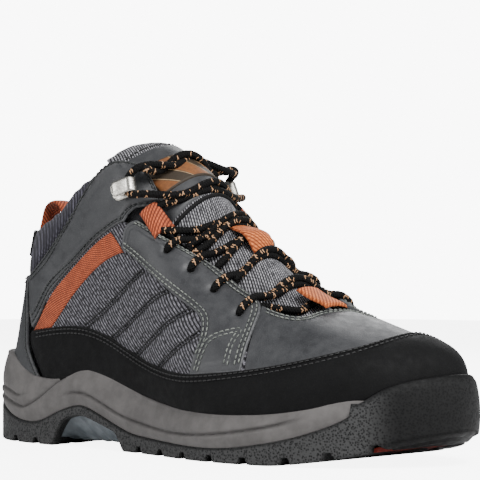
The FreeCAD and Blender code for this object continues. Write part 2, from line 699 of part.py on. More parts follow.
add_feature("tongue", tongue_sheet(0.0, 0.965, 1.0, -size("tongue_thickness"), 0.0, columns=22))
add_feature("tongue_top_trim", tongue_sheet(0.968, 1.0, 1.0, -size("tongue_thickness") - 0.4, 0.4, columns=3))
add_feature("tongue_patch", tongue_sheet(0.86, 0.955, 0.55, 0.1, 1.1, columns=5, rows=6))
add_feature("tongue_keeper", tongue_sheet(0.405, 0.525, 0.30, 0.1, 1.0, columns=6, rows=4))

# Webbing tab at the front of the throat: a strap that is sewn to the vamp and stands
# clear of the tongue's root. Its ridge is given as (x, z).
TAB_RIDGE = [(60, 89.0), (66, 84.2), (72, 80.4), (78, 78.6), (84, 77.2)]
TAB_HALF_WIDTH = 8
TAB_THICKNESS = 0.9
TAB_CROWN = 0.012
TAB_ROWS = 6
tab_low, tab_high = [], []
for x, z in TAB_RIDGE:
    sides = [TAB_HALF_WIDTH * (-1 + 2 * j / TAB_ROWS) for j in range(TAB_ROWS + 1)]
    tab_low.append([scaled(x, y, z - TAB_CROWN * y * y) for y in sides])
    tab_high.append([scaled(x, y, z + TAB_THICKNESS - TAB_CROWN * y * y) for y in sides])
add_feature("throat_tab", thick_sheet(tab_high, tab_low))

# ---------------------------------------------------------------- hook places
HOOK_PLACE = (4.02, .862)
HOOK_HEADING = Vector(0.95, 0, 0.31)
HOOK_STANDOFF = 0.9
HOOK_RIVET_PLACE = 3.6
HOOK_TAB_SHARE = 0.55


def hook_frame(mirror):
    """Placement of a hook: X forward to the throat, Z off the leather."""
    around, rise = HOOK_PLACE
    if mirror:
        around = RIB_COUNT - around
    origin = form_offset(around, rise, size("overlay_outer") + HOOK_STANDOFF)
    normal = form_normal(around, rise)
    heading = (HOOK_HEADING - normal * HOOK_HEADING.dot(normal)).normalize()
    sideways = normal.cross(heading)
    return Placement(origin, Rotation(heading, sideways, normal, "ZXY"))


# ---------------------------------------------------------------- laces
# Each crossing runs from a lace hole on one side to the next one up on the other,
# over the tongue. The strand from the inner side lies on top.
# A station is a place beside the throat: its two places are the hole or loop itself,
# and the throat edge that the lace passes over next.
LACE_STATIONS = [((5.90, .715), (6.02, .860)), ((5.52, .790), (5.62, .930)),
                 ((5.15, .815), (5.24, .950)), ((4.78, .800), (4.90, .900)),
                 ((4.47, .850), (4.60, .935))]
HOOK_LACE = (8.6, 4.3, 3.4)
HOOK_LACE_ENTRY = (9.4, 9.5, 4.8)
LACE_LIFT = 0.4
LACE_CLEARANCE = 2.2
LACE_PEAK = 2.5
lace_radius = size("lace_diameter") / 2
station_offset = size("webbing_outer") + lace_radius + LACE_LIFT


def tube(points, radius):
    path = open_spline(points)
    start = path.value(path.FirstParameter)
    heading = path.tangent(path.FirstParameter)[0]
    ring = Part.Wire(Part.makeCircle(radius, start, heading))
    return Part.Wire(path.toShape()).makePipeShell([ring], True, False)


def station_points(station, medial):
    """The two places of a station, on the outer or the inner side of the throat."""
    places = [(RIB_COUNT - around if medial else around, rise) for around, rise in station]
    return [form_offset(around, rise, station_offset) for around, rise in places]


def over_tongue(start, end, share):
    """A point above the tongue, at a share of the way from start to end."""
    middle = start * (1 - share) + end * share
    ridge_share = min(range(101), key=lambda k: abs(tongue_point(k / 100, 0).x - middle.x)) / 100
    half = table_value(TONGUE_HALF_WIDTH, ridge_share) * SCALE.y
    side = max(-1.0, min(1.0, middle.y / half))
    lift = lace_radius + LACE_CLEARANCE + LACE_PEAK * math.sin(math.pi * share)
    return tongue_point(ridge_share, side) + tongue_normal(ridge_share, side) * lift


def crossing(low_station, high_station, from_medial):
    """One strand of lace from a station to the next one up on the other side."""
    start, start_edge = station_points(low_station, from_medial)
    end, end_edge = station_points(high_station, not from_medial)
    crest = over_tongue(start_edge, end_edge, 0.5)
    return tube([start, start_edge, crest, end_edge, end], lace_radius)


def hook_strand(low_station, to_medial):
    """The top strand: from a station across to the far hook, in under its tab from below."""
    start, start_edge = station_points(low_station, not to_medial)
    placement = hook_frame(to_medial)
    below = 1 if to_medial else -1
    entry, end = [placement.multVec(Vector(x, below * y, z)) for x, y, z in (HOOK_LACE_ENTRY, HOOK_LACE)]
    crest = over_tongue(start_edge, entry, 0.5)
    return tube([start, start_edge, crest, entry, end], lace_radius)


strands = []
for level, (lower, upper) in enumerate(zip(LACE_STATIONS, LACE_STATIONS[1:])):
    strands.append(crossing(lower, upper, level % 2 == 0))
strands.append(hook_strand(LACE_STATIONS[-1], False))
laces = add_feature("laces", Part.makeCompound(strands))

# ---------------------------------------------------------------- speed hooks and rivets
def speed_hook(label, mirror):
    """Sheet-metal hook: a riveted plate whose end folds back over the lace."""
    plate, gap, length = size("hook_plate"), size("hook_throat"), size("hook_length")
    body = doc.addObject("PartDesign::Body", label)
    tab = length * HOOK_TAB_SHARE
    outline = [Vector(0, 0, 0), Vector(length, 0, 0), Vector(length, 2 * plate + gap, 0),
               Vector(length - tab, 2 * plate + gap, 0), Vector(length - tab, plate + gap, 0),
               Vector(length - plate, plate + gap, 0), Vector(length - plate, plate, 0),
               Vector(0, plate, 0), Vector(0, 0, 0)]
    shape_sketch = add_sketch(body, label + "_bend", "XZ_Plane", polyline(outline))
    pad = body.newObject("PartDesign::Pad", label + "_sheet")
    pad.Profile = shape_sketch
    pad.SideType = "Symmetric"
    bind(pad, "Length", "hook_width")
    doc.recompute()
    hole = add_sketch(body, label + "_hole", "XY_Plane",
                      [Part.Circle(Vector(HOOK_RIVET_PLACE, 0, 0), Vector(0, 0, 1), size("rivet_shaft") * 1.1)])
    pocket = body.newObject("PartDesign::Pocket", label + "_rivet_hole")
    pocket.Profile = hole
    pocket.Length = 1.5 * plate
    pocket.Reversed = True
    doc.recompute()
    assert pocket.Shape.Volume < pad.Shape.Volume, label + " has no rivet hole"
    body.Tip = pocket
    body.Placement = hook_frame(mirror)
    return body


rivet_parts = []
for side, mirror in SIDES:
    speed_hook("speed_hook_" + side, mirror)
    head = doc.addObject("Part::Cylinder", "rivet_head_" + side)
    bind(head, "Radius", "rivet_radius")
    bind(head, "Height", "rivet_head")
    lift = size("hook_plate") + 0.05
    head.Placement = hook_frame(mirror) * Placement(Vector(HOOK_RIVET_PLACE, 0, lift), Rotation())
    shaft = doc.addObject("Part::Cylinder", "rivet_shaft_" + side)
    bind(shaft, "Radius", "rivet_shaft")
    shaft.setExpression("Height", "%s.hook_plate + 0.05" % sheet.Name)
    shaft.Placement = hook_frame(mirror) * Placement(Vector(HOOK_RIVET_PLACE, 0, 0), Rotation())
    rivet = doc.addObject("Part::Fuse", "rivet_" + side)
    rivet.Base = head
    rivet.Tool = shaft
    rivet_parts.append(rivet)
hook_rivets = doc.addObject("Part::Compound", "hook_rivets")
hook_rivets.Links = rivet_parts

# ---------------------------------------------------------------- heel pull loop
PULL_LOOP_FOOT = (-135.3, 104)
PULL_LOOP_LEAN = 12


def pull_loop_profile():
    """Two webbing legs joined by a half-round bend, in the XZ plane."""
    outer, leg, thick = size("loop_radius"), size("loop_leg"), size("loop_thickness")
    inner = outer - thick
    inner_leg = leg * 0.35
    centre = Vector(outer, leg, 0)
    return [
        Part.LineSegment(Vector(0, 0, 0), Vector(0, leg, 0)),
        Part.Arc(Vector(0, leg, 0), centre + Vector(0, outer, 0), Vector(2 * outer, leg, 0)),
        Part.LineSegment(Vector(2 * outer, leg, 0), Vector(2 * outer, leg - inner_leg, 0)),
        Part.LineSegment(Vector(2 * outer, leg - inner_leg, 0), Vector(2 * outer - thick, leg - inner_leg, 0)),
        Part.LineSegment(Vector(2 * outer - thick, leg - inner_leg, 0), Vector(2 * outer - thick, leg, 0)),
        Part.Arc(Vector(2 * outer - thick, leg, 0), centre + Vector(0, inner, 0), Vector(thick, leg, 0)),
        Part.LineSegment(Vector(thick, leg, 0), Vector(thick, 0, 0)),
        Part.LineSegment(Vector(thick, 0, 0), Vector(0, 0, 0)),
    ]


pull_loop = doc.addObject("PartDesign::Body", "pull_loop")
pull_sketch = add_sketch(pull_loop, "pull_loop_side", "XZ_Plane", pull_loop_profile())
pull_pad = pull_loop.newObject("PartDesign::Pad", "pull_loop_webbing")
pull_pad.Profile = pull_sketch
pull_pad.SideType = "Symmetric"
bind(pull_pad, "Length", "loop_width")
pull_foot = scaled(PULL_LOOP_FOOT[0], 0, PULL_LOOP_FOOT[1])
pull_loop.Placement = Placement(pull_foot, Rotation(Vector(0, 1, 0), PULL_LOOP_LEAN))

# ---------------------------------------------------------------- check and write
doc.recompute()
NODES = ["outsole", "forefoot_insert", "midsole", "shank_plate", "lasting_board", "footbed",
         "lining_lateral", "lining_medial", "toe_puff", "heel_counter", "vamp", "side_mesh_lateral",
         "side_mesh_medial", "eyestay_lateral", "eyestay_medial", "ankle_panel_lateral",
         "ankle_panel_medial", "accent_stripe_lateral", "accent_stripe_medial", "rand", "heel_strip",
         "collar_padding", "tongue", "tongue_top_trim", "tongue_patch", "tongue_keeper", "throat_tab",
         "lace_loop_lateral", "lace_loop_medial", "laces", "speed_hook_lateral", "speed_hook_medial",
         "hook_rivets", "pull_loop"]

for item in doc.Objects:
    if "Invalid" in item.State or "Error" in item.State:
        raise RuntimeError("%s did not compute: %s" % (item.Label, item.State))
for node in NODES:
    shape = doc.getObjectsByLabel(node)[0].Shape
    if shape.isNull() or not shape.isValid() or shape.Volume <= 0:
        raise RuntimeError("%s is not a valid solid" % node)
for node in NODES:
    doc.getObjectsByLabel(node)[0].Shape.exportStep("parts/%s.step" % node)
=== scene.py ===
"""Looks of a mid-height hiking boot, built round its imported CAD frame."""
import math
import bmesh
import bpy
import numpy as np
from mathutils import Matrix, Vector
from mathutils.bvhtree import BVHTree


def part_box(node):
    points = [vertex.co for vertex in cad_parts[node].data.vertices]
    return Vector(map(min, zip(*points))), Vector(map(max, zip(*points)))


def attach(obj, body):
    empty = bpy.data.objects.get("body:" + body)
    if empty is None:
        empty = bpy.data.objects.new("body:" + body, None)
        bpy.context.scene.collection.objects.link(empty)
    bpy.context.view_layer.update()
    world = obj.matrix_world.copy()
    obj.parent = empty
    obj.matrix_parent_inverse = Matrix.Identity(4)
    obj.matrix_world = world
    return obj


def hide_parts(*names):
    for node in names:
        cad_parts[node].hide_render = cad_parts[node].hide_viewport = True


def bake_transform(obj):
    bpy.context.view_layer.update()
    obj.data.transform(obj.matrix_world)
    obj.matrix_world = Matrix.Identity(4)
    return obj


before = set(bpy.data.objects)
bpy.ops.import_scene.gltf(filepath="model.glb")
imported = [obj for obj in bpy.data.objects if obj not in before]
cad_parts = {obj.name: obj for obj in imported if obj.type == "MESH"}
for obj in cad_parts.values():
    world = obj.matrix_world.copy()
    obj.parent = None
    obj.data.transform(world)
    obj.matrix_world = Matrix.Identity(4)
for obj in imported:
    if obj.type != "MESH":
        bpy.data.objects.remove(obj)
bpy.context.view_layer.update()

# ---------------------------------------------------------------- frame and size
# Sizes are in millimetres and are turned into metres where a mesh is made.
MM = 0.001
DRAWN_SOLE = np.array([307.66, 111.48])
DRAWN_TOP = 162.27
sole_low, sole_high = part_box("outsole")
trim_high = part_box("tongue_top_trim")[1]
SCALE = np.array([(sole_high.x - sole_low.x) / MM / DRAWN_SOLE[0],
                  (sole_high.y - sole_low.y) / MM / DRAWN_SOLE[1], trim_high.z / MM / DRAWN_TOP])


# ---------------------------------------------------------------- outer form of the upper
# Rib 0 is at the back of the heel, ribs 1 to 8 go up the outer side, rib 9 is the tip
# of the toe and ribs 10 to 17 come back on the inner side. Each rib has five points,
# from the sole's edge to the mouth of the boot.
RIBS = np.array([
    [(-146, 0, 30), (-143.5, 0, 46), (-136, 0, 72), (-132.5, 0, 98), (-129, 0, 116)],
    [(-135, -24, 30), (-132.5, -22.5, 46), (-126, -20, 72), (-123, -19, 98), (-120, -18, 117.5)],
    [(-108, -35.5, 29), (-108, -37, 46), (-107, -36, 72), (-105, -33.5, 98), (-101, -31, 121)],
    [(-60, -37, 28), (-61, -39.5, 48), (-64, -39.5, 78), (-70, -37, 112), (-77, -34, 133)],
    [(-10, -39, 24), (-12, -43, 42), (-17, -42, 75), (-30, -37, 118), (-44, -32, 153)],
    [(33, -49, 19), (32, -52.5, 36), (26, -48, 62), (14, -37, 92), (2, -26, 113)],
    [(74, -49, 18), (74, -52, 33), (68, -44.5, 52), (54, -32, 74), (38, -21, 90)],
    [(112, -37, 22), (113, -40, 37), (108, -35.5, 52), (90, -25, 67), (62, -15, 79.5)],
    [(138, -17, 27), (138, -18, 40), (132, -15.5, 54), (108, -10, 65.5), (73, -7, 77)],
    [(150, 7, 30), (149.5, 7, 43), (142, 7, 56), (115, 6, 66.5), (77, 3, 76.5)],
    [(143, 29, 29), (143, 29, 42), (136, 26, 55), (110, 18, 65.5), (73, 12, 77)],
    [(122, 42, 24), (122, 43.5, 39), (116, 39, 54), (95, 29, 67.5), (62, 19, 79.5)],
    [(89, 49, 19), (89, 51.5, 35), (82, 45, 54), (64, 34, 75), (38, 24, 90)],
    [(53, 49, 18), (50, 51, 36), (42, 45, 62), (24, 36, 93), (2, 28, 113)],
    [(3, 37, 22), (0, 41, 42), (-8, 39.5, 74), (-28, 36, 118), (-44, 32, 153)],
    [(-50, 32, 27), (-51, 36.5, 48), (-55, 38, 78), (-66, 36, 112), (-77, 34, 133)],
    [(-104, 34, 29), (-104, 36, 46), (-104, 35, 72), (-103, 33, 98), (-101, 31, 121)],
    [(-135, 23, 30), (-132.5, 22.5, 46), (-126, 20, 72), (-123, 19, 98), (-120, 18, 117.5)],
]) * SCALE
RIB_COUNT, RISES = RIBS.shape[:2]


def bend_matrix(count, closed):
    """Turns spline points into their second derivatives."""
    left, right = np.eye(count), np.zeros((count, count))
    for i in range(count):
        if closed or 0 < i < count - 1:
            left[i, i] = 4
            for j in (i - 1, (i + 1) % count):
                left[i, j] += 1
                right[i, j] += 6
            right[i, i] -= 12
    return np.linalg.solve(left, right)


def spline_weights(count, place, closed):
    """Rows of weights that read a cubic spline at each place."""
    place = np.asarray(place, float)
    if closed:
        place = np.mod(place, count)
        start = np.minimum(np.floor(place).astype(int), count - 1)
    else:
        start = np.clip(np.floor(place).astype(int), 0, count - 2)
    part = (place - start)[..., None]
    rest = 1 - part
    eye, bends = np.eye(count), bend_matrix(count, closed)
    after = (start + 1) % count
    return (eye[start] * rest + eye[after] * part
            + bends[start] * (rest ** 3 - rest) / 6 + bends[after] * (part ** 3 - part) / 6)


def spline(points, place, closed=False):
    points = np.asarray(points, float)
    return spline_weights(len(points), place, closed) @ points


def run_along(path):
    """Distance travelled along a path, at each of its points."""
    return np.concatenate([[0], np.cumsum(np.linalg.norm(np.diff(path, axis=0), axis=1))])


def through(points, share):
    """Smooth curve through points, read at shares of its length."""
    points = np.asarray(points, float)
    chord = run_along(points)
    return spline(points, np.interp(np.asarray(share) * chord[-1], chord, np.arange(len(points))))


def form(around, rise):
    """Outer form of the upper, in mm, for arrays of place round the boot and rise."""
    around, rise = np.broadcast_arrays(np.asarray(around, float), np.asarray(rise, float))
    across = spline_weights(RIB_COUNT, around, True)
    upward = spline_weights(RISES, np.clip(rise, 0, 1) * (RISES - 1), False)
    near_top = spline_weights(RISES, np.full(rise.shape, 0.98) * (RISES - 1), False)
    over = np.clip(rise - 1, 0, None)[..., None] / 0.02
    top = spline_weights(RISES, np.ones(rise.shape) * (RISES - 1), False)
    return np.einsum("...i,...j,ijk->...k", across, upward + over * (top - near_top), RIBS)


def unit(vectors):
    return vectors / np.maximum(np.linalg.norm(vectors, axis=-1, keepdims=True), 1e-12)


def form_normal(around, rise):
    step = 0.01
    high, low = np.minimum(np.asarray(rise) + step, 1), np.clip(np.asarray(rise) - step, 0, 1 - step)
    along = form(np.asarray(around) + step, rise) - form(np.asarray(around) - step, rise)
    return unit(np.cross(along, form(around, high) - form(around, low)))


def on_form(around, rise, offset=0.0):
    return form(around, rise) + form_normal(around, rise) * np.asarray(offset)[..., None]


# ---------------------------------------------------------------- mesh making
def add_mesh(name, points, faces, material, body="boot", replaces=(), weave=None, slot=None, smooth=True):
    """A new piece from points in mm. weave holds three numbers a point for its material to read."""
    mesh = bpy.data.meshes.new(name)
    mesh.from_pydata((np.asarray(points, float) * MM).tolist(), [], [list(map(int, f)) for f in faces])
    if weave is not None:
        layer = mesh.attributes.new("weave", "FLOAT_VECTOR", "POINT")
        layer.data.foreach_set("vector", np.asarray(weave, np.float32).ravel())
    mesh.validate()
    mesh.shade_smooth() if smooth else mesh.shade_flat()
    piece = bpy.data.objects.new(name, mesh)
    bpy.context.scene.collection.objects.link(piece)
    mesh.materials.append(material)
    if body:
        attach(piece, body)
    if replaces:
        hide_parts(*replaces)
    return piece


def grid_faces(rows, columns, start=0, wrap=False, turn=False):
    """Quads of a grid whose points are stored row by row."""
    i, j = np.meshgrid(np.arange(rows - 1), np.arange(columns if wrap else columns - 1), indexing="ij")
    a = start + i * columns + j
    b = start + i * columns + (j + 1) % columns
    c, d = b + columns, a + columns
    quads = np.stack([a, b, c, d] if not turn else [a, d, c, b], -1).reshape(-1, 4)
    return quads.tolist()


def recalc(piece):
    """Makes the faces of a closed piece point outwards."""
    work = bmesh.new()
    work.from_mesh(piece.data)
    bmesh.ops.remove_doubles(work, verts=work.verts, dist=1e-6)
    bmesh.ops.recalc_face_normals(work, faces=work.faces)
    work.to_mesh(piece.data)
    work.free()


EDGE_STEPS = (0, .12, .35, .7, 1.15, 1.8, 2.6)


def stations(length, step):
    """Shares of a length: close together at both ends, even between."""
    ends = np.array([e for e in EDGE_STEPS if e < length / 2.2])
    inner = np.linspace(ends[-1], length - ends[-1], max(2, int((length - 2 * ends[-1]) / step) + 1))
    return np.unique(np.round(np.concatenate([ends, inner, length - ends]), 5)) / length


class Panel:
    """Four-sided piece of sheet on the outer form, drawn by its low and high edges."""

    def __init__(self, low, high, start=None, end=None, mirror=False, surface=None):
        self.low, self.high = low, high
        self.start = start or [low[0], high[0]]
        self.end = end or [low[-1], high[-1]]
        self.mirror = mirror
        self.surface = surface or on_form

    def place(self, along, across):
        along, across = np.broadcast_arrays(np.asarray(along, float), np.asarray(across, float))
        s, t = along[..., None], across[..., None]
        low, high = through(self.low, along), through(self.high, along)
        start, end = through(self.start, across), through(self.end, across)
        corner = [np.array(p, float) for p in (self.low[0], self.low[-1], self.high[0], self.high[-1])]
        flat = (low * (1 - t) + high * t + start * (1 - s) + end * s
                - (corner[0] * (1 - s) + corner[1] * s) * (1 - t) - (corner[2] * (1 - s) + corner[3] * s) * t)
        if self.mirror:
            flat = np.stack([RIB_COUNT - flat[..., 0], flat[..., 1]], -1)
        return flat

    def point(self, along, across, offset=0.0):
        flat = self.place(along, across)
        return self.surface(flat[..., 0], flat[..., 1], offset)

    def lengths(self):
        """Rough length along and across, in mm."""
        share = np.linspace(0, 1, 30)
        along = np.linalg.norm(np.diff(self.point(share, 0.5), axis=0), axis=1).sum()
        across = max(np.linalg.norm(np.diff(self.point(s, share), axis=0), axis=1).sum()
                     for s in (0.2, 0.5, 0.8))
        return along, across

    def inset_path(self, edge, inset, first=0.0, last=1.0, count=400):
        """Shares (along, across) of a line that keeps inset mm from one edge."""
        share = np.linspace(first, last, count)
        step = 0.02
        if edge in ("low", "high"):
            base = np.zeros(count) if edge == "low" else np.ones(count)
            toward = step if edge == "low" else -step
            speed = np.linalg.norm(self.point(share, base + toward) - self.point(share, base), axis=-1) / step
            return share, np.abs(base - inset / np.maximum(speed, 1e-3))
        base = np.zeros(count) if edge == "start" else np.ones(count)
        toward = step if edge == "start" else -step
        speed = np.linalg.norm(self.point(base + toward, share) - self.point(base, share), axis=-1) / step
        return np.abs(base - inset / np.maximum(speed, 1e-3)), share


def edge_distance(points):
    """Distance of each point of a grid from the grid's rim, in mm."""
    rim = np.concatenate([points[0], points[-1], points[:, 0], points[:, -1]])
    flat = points.reshape(-1, 3)
    out = np.empty(len(flat))
    for k in range(0, len(flat), 2000):
        gap = flat[k:k + 2000, None, :] - rim[None]
        out[k:k + 2000] = np.sqrt((gap ** 2).sum(-1).min(1))
    return out.reshape(points.shape[:2])


def solid_sheet(name, outer, inner, material, weave=None, **options):
    """A closed piece between two grids, whose two sides read the same weave numbers."""
    rows, columns = outer.shape[:2]
    count = rows * columns
    faces = grid_faces(rows, columns) + grid_faces(rows, columns, count, turn=True)
    index = np.arange(count).reshape(rows, columns)
    loop = np.concatenate([index[0, :], index[1:, -1], index[-1, -2::-1], index[-2:0:-1, 0]])
    faces += [[a, b, b + count, a + count] for a, b in zip(loop, np.roll(loop, -1))]
    points = np.concatenate([outer.reshape(-1, 3), inner.reshape(-1, 3)])
    if weave is not None:
        weave = np.concatenate([weave.reshape(-1, 3)] * 2)
    piece = add_mesh(name, points, faces, material, weave=weave, **options)
    recalc(piece)
    return piece


def rolled(rim, roll):
    """Quarter round, from 0 at a rim to 1 at roll mm from it."""
    return np.sqrt(np.clip(1 - (1 - np.clip(rim / roll, 0, 1)) ** 2, 0, 1))


def sheet_piece(name, panel, material, inner, outer, step=1.6, roll=0.9, relief=None, **options):
    """Solid sheet of a panel with rolled edges. relief(points, rim) adds to the outer offset."""
    long_way, short_way = panel.lengths()
    s, t = stations(long_way, step), stations(short_way, step)
    along, across = np.meshgrid(s, t, indexing="ij")
    flat = panel.place(along, across)
    base = panel.surface(flat[..., 0], flat[..., 1], 0.0)
    rim = edge_distance(base)
    curve = rolled(rim, roll)
    thickness = inner + (outer - inner) * (0.12 + 0.88 * curve)
    if relief is not None:
        thickness = thickness + relief(base, rim) * curve
    top = panel.surface(flat[..., 0], flat[..., 1], thickness)
    under = panel.surface(flat[..., 0], flat[..., 1], np.full(rim.shape, inner))
    weave = np.stack([along * long_way, across * short_way, rim], -1)
    solid_sheet(name, top, under, material, weave, **options)


def tube_frame(path):
    """Unit tangent and two normals along a path of points."""
    tangent = unit(np.gradient(path, axis=0))
    side = np.cross(tangent[0], (0, 0, 1.0))
    if np.linalg.norm(side) < 1e-3:
        side = np.cross(tangent[0], (0, 1.0, 0))
    side = side / np.linalg.norm(side)
    sides = []
    for direction in tangent:
        side = side - direction * side.dot(direction)
        side = side / np.linalg.norm(side)
        sides.append(side)
    sides = np.array(sides)
    return tangent, sides, np.cross(tangent, sides)


def resample(path, step):
    path = np.asarray(path, float)
    run = run_along(path)
    count = max(3, int(run[-1] / step) + 1)
    even = np.linspace(0, run[-1], count)
    return np.stack([np.interp(even, run, path[:, k]) for k in range(3)], -1)


def tube(path, radius, sides=12, relief=None, flat=1.0):
    """Points, faces and weave numbers of a capped tube along a path."""
    tangent, side, up = tube_frame(path)
    run = run_along(path)
    turn = np.linspace(0, 2 * math.pi, sides, endpoint=False)
    grow = np.ones((len(path), sides)) if relief is None else relief(run[:, None], turn[None, :])
    end = np.minimum(np.minimum(run, run[-1] - run) / radius, 1)
    cap = np.sqrt(np.clip(1 - (1 - end) ** 2, 0.02, 1))[:, None]
    ring = (side[:, None] * np.cos(turn)[None, :, None] + up[:, None] * np.sin(turn)[None, :, None] * flat)
    points = path[:, None] + ring * (radius * grow * cap)[..., None]
    weave = np.stack(np.broadcast_arrays(run[:, None], np.cos(turn)[None, :], np.sin(turn)[None, :]), -1)
    faces = grid_faces(len(path), sides, wrap=True)
    last = (len(path) - 1) * sides
    faces += [list(range(sides))[::-1], list(range(last, last + sides))]
    return points.reshape(-1, 3), faces, weave.reshape(-1, 3)


class Bundle:
    """Collects several shells into one piece."""

    def __init__(self):
        self.points, self.faces, self.weave, self.count = [], [], [], 0

    def add(self, points, faces, weave=None):
        self.points.append(points)
        self.faces += [[i + self.count for i in face] for face in faces]
        self.weave.append(np.zeros((len(points), 3)) if weave is None else weave)
        self.count += len(points)

    def piece(self, name, material, **options):
        made = add_mesh(name, np.concatenate(self.points), self.faces, material,
                        weave=np.concatenate(self.weave), **options)
        recalc(made)
        return made


STITCH_PITCH = 3.0
STITCH_LENGTH = 2.25
STITCH_RADIUS = 0.36


def stitch_row(bundle, path, normals, pitch=STITCH_PITCH, radius=STITCH_RADIUS, length=STITCH_LENGTH):
    """Adds one row of thread stitches along a path that lies on a surface."""
    run = run_along(path)
    if run[-1] < pitch:
        return
    sag = np.array([-0.5, 0.35, 0.55, 0.35, -0.5]) * radius
    share = np.array([0, 0.2, 0.5, 0.8, 1.0])
    for start in np.arange(0.3, run[-1] - length, pitch):
        at = start + share * length
        spine = np.stack([np.interp(at, run, path[:, k]) for k in range(3)], -1)
        normal = np.stack([np.interp(at, run, normals[:, k]) for k in range(3)], -1)
        spine = spine + normal * sag[:, None]
        tangent = unit(np.gradient(spine, axis=0))
        side = unit(np.cross(tangent, normal))
        up = np.cross(side, tangent)
        turn = np.linspace(0, 2 * math.pi, 6, endpoint=False)
        thick = radius * np.array([0.6, 1, 1.05, 1, 0.6])
        ring = side[:, None] * np.cos(turn)[None, :, None] + up[:, None] * np.sin(turn)[None, :, None]
        points = spine[:, None] + ring * thick[:, None, None]
        faces = grid_faces(5, 6, wrap=True) + [list(range(6))[::-1], list(range(24, 30))]
        bundle.add(points.reshape(-1, 3), faces)


def panel_stitches(bundle, panel, edge, insets, outer, first=0.02, last=0.98):
    """Rows of stitches that follow one edge of a panel."""
    for inset in insets:
        along, across = panel.inset_path(edge, inset, first, last)
        flat = panel.place(along, across)
        path = panel.surface(flat[..., 0], flat[..., 1], outer + 0.1)
        stitch_row(bundle, path, unit(path - panel.surface(flat[..., 0], flat[..., 1], outer - 1.9)))


# ---------------------------------------------------------------- materials
class Shader:
    """Short way to write a node material."""

    def __init__(self, name, roughness=0.6, metallic=0.0, sheen=0.0, specular=0.5):
        self.material = bpy.data.materials.new(name)
        self.material.use_nodes = True
        self.tree = self.material.node_tree
        self.bsdf = self.tree.nodes["Principled BSDF"]
        self.put(self.bsdf, "Roughness", roughness)
        self.put(self.bsdf, "Metallic", metallic)
        self.put(self.bsdf, "Sheen Weight", sheen)
        self.put(self.bsdf, "Specular IOR Level", specular)

    def put(self, node, key, value):
        socket = node.inputs[key]
        if isinstance(value, bpy.types.NodeSocket):
            self.tree.links.new(value, socket)
        else:
            socket.default_value = value

    def node(self, kind, inputs, output=0, **settings):
        made = self.tree.nodes.new(kind)
        for key, value in settings.items():
            setattr(made, key, value)
        for key, value in inputs.items():
            self.put(made, key, value)
        return made.outputs[output]

    def place(self):
        """Position on the object in mm."""
        coord = self.node("ShaderNodeTexCoord", {}, "Object")
        return self.node("ShaderNodeVectorMath", {0: coord, "Scale": 1 / MM}, operation="SCALE")

    def weave(self):
        return self.node("ShaderNodeAttribute", {}, "Vector", attribute_name="weave")

    def split(self, vector):
        made = self.tree.nodes.new("ShaderNodeSeparateXYZ")
        self.put(made, 0, vector)
        return made.outputs

    def join(self, x, y, z=0.0):
        return self.node("ShaderNodeCombineXYZ", {0: x, 1: y, 2: z})

    def math(self, operation, a, b=0.0, clamp=False):
        return self.node("ShaderNodeMath", {0: a, 1: b}, operation=operation, use_clamp=clamp)

    def times(self, a, b, clamp=False):
        return self.math("MULTIPLY", a, b, clamp)

    def plus(self, a, b):
        return self.math("ADD", a, b)

    def noise(self, vector, scale, detail=2.0, roughness=0.5):
        return self.node("ShaderNodeTexNoise", {"Vector": vector, "Scale": scale, "Detail": detail,
                                                "Roughness": roughness})

    def cells(self, vector, scale, feature="F1"):
        return self.node("ShaderNodeTexVoronoi", {"Vector": vector, "Scale": scale}, feature=feature)

    def remap(self, value, low, high, out_low=0.0, out_high=1.0):
        return self.node("ShaderNodeMapRange", {0: value, 1: low, 2: high, 3: out_low, 4: out_high})

    def mix(self, share, a, b):
        made = self.tree.nodes.new("ShaderNodeMix")
        made.data_type = "RGBA"
        for key, value in ((0, share), (6, a), (7, b)):
            if isinstance(value, tuple):
                value = (*value, 1.0)
            self.put(made, key, value)
        return made.outputs[2]

    def wave(self, value, period):
        """A 0 to 1 wave of a value in mm."""
        turned = self.math("MULTIPLY", value, 2 * math.pi / period)
        return self.remap(self.math("SINE", turned), -1, 1)

    def color(self, value):
        self.put(self.bsdf, "Base Color", value)

    def bump(self, height, distance, strength=1.0, under=None):
        inputs = {"Height": height, "Distance": distance * MM, "Strength": strength}
        if under is not None:
            inputs["Normal"] = under
        normal = self.node("ShaderNodeBump", inputs)
        self.put(self.bsdf, "Normal", normal)
        return normal


def leather(name, dark, light, edge, grain=1.5, roughness=0.5, depth=0.05, specular=0.4):
    """Grained leather, mottled, with paler worn edges."""
    make = Shader(name, roughness=roughness, specular=specular)
    place = make.place()
    rim = make.split(make.weave())[2]
    cloud = make.noise(place, 0.045, 4.0, 0.6)
    patch = make.noise(place, 0.22, 3.0)
    mottle = make.plus(make.times(cloud, 0.65), make.times(patch, 0.35))
    base = make.mix(make.remap(mottle, 0.36, 0.64), dark, light)
    fibre = make.noise(place, 2.2, 2.0)
    base = make.mix(make.remap(fibre, 0.55, 0.8, 0.0, 0.35), base, edge)
    worn = make.times(make.remap(rim, 1.3, 0.2), make.remap(make.noise(place, 0.6), 0.3, 0.7))
    make.color(make.mix(make.times(worn, 0.75), base, edge))
    make.put(make.bsdf, "Roughness", make.remap(patch, 0.3, 0.7, roughness - 0.07, roughness + 0.1))
    fine = make.cells(place, grain)
    crease = make.noise(place, 0.5, 5.0, 0.65)
    height = make.plus(make.times(fine, 0.6), make.times(crease, 0.9))
    make.bump(height, depth)
    return make.material


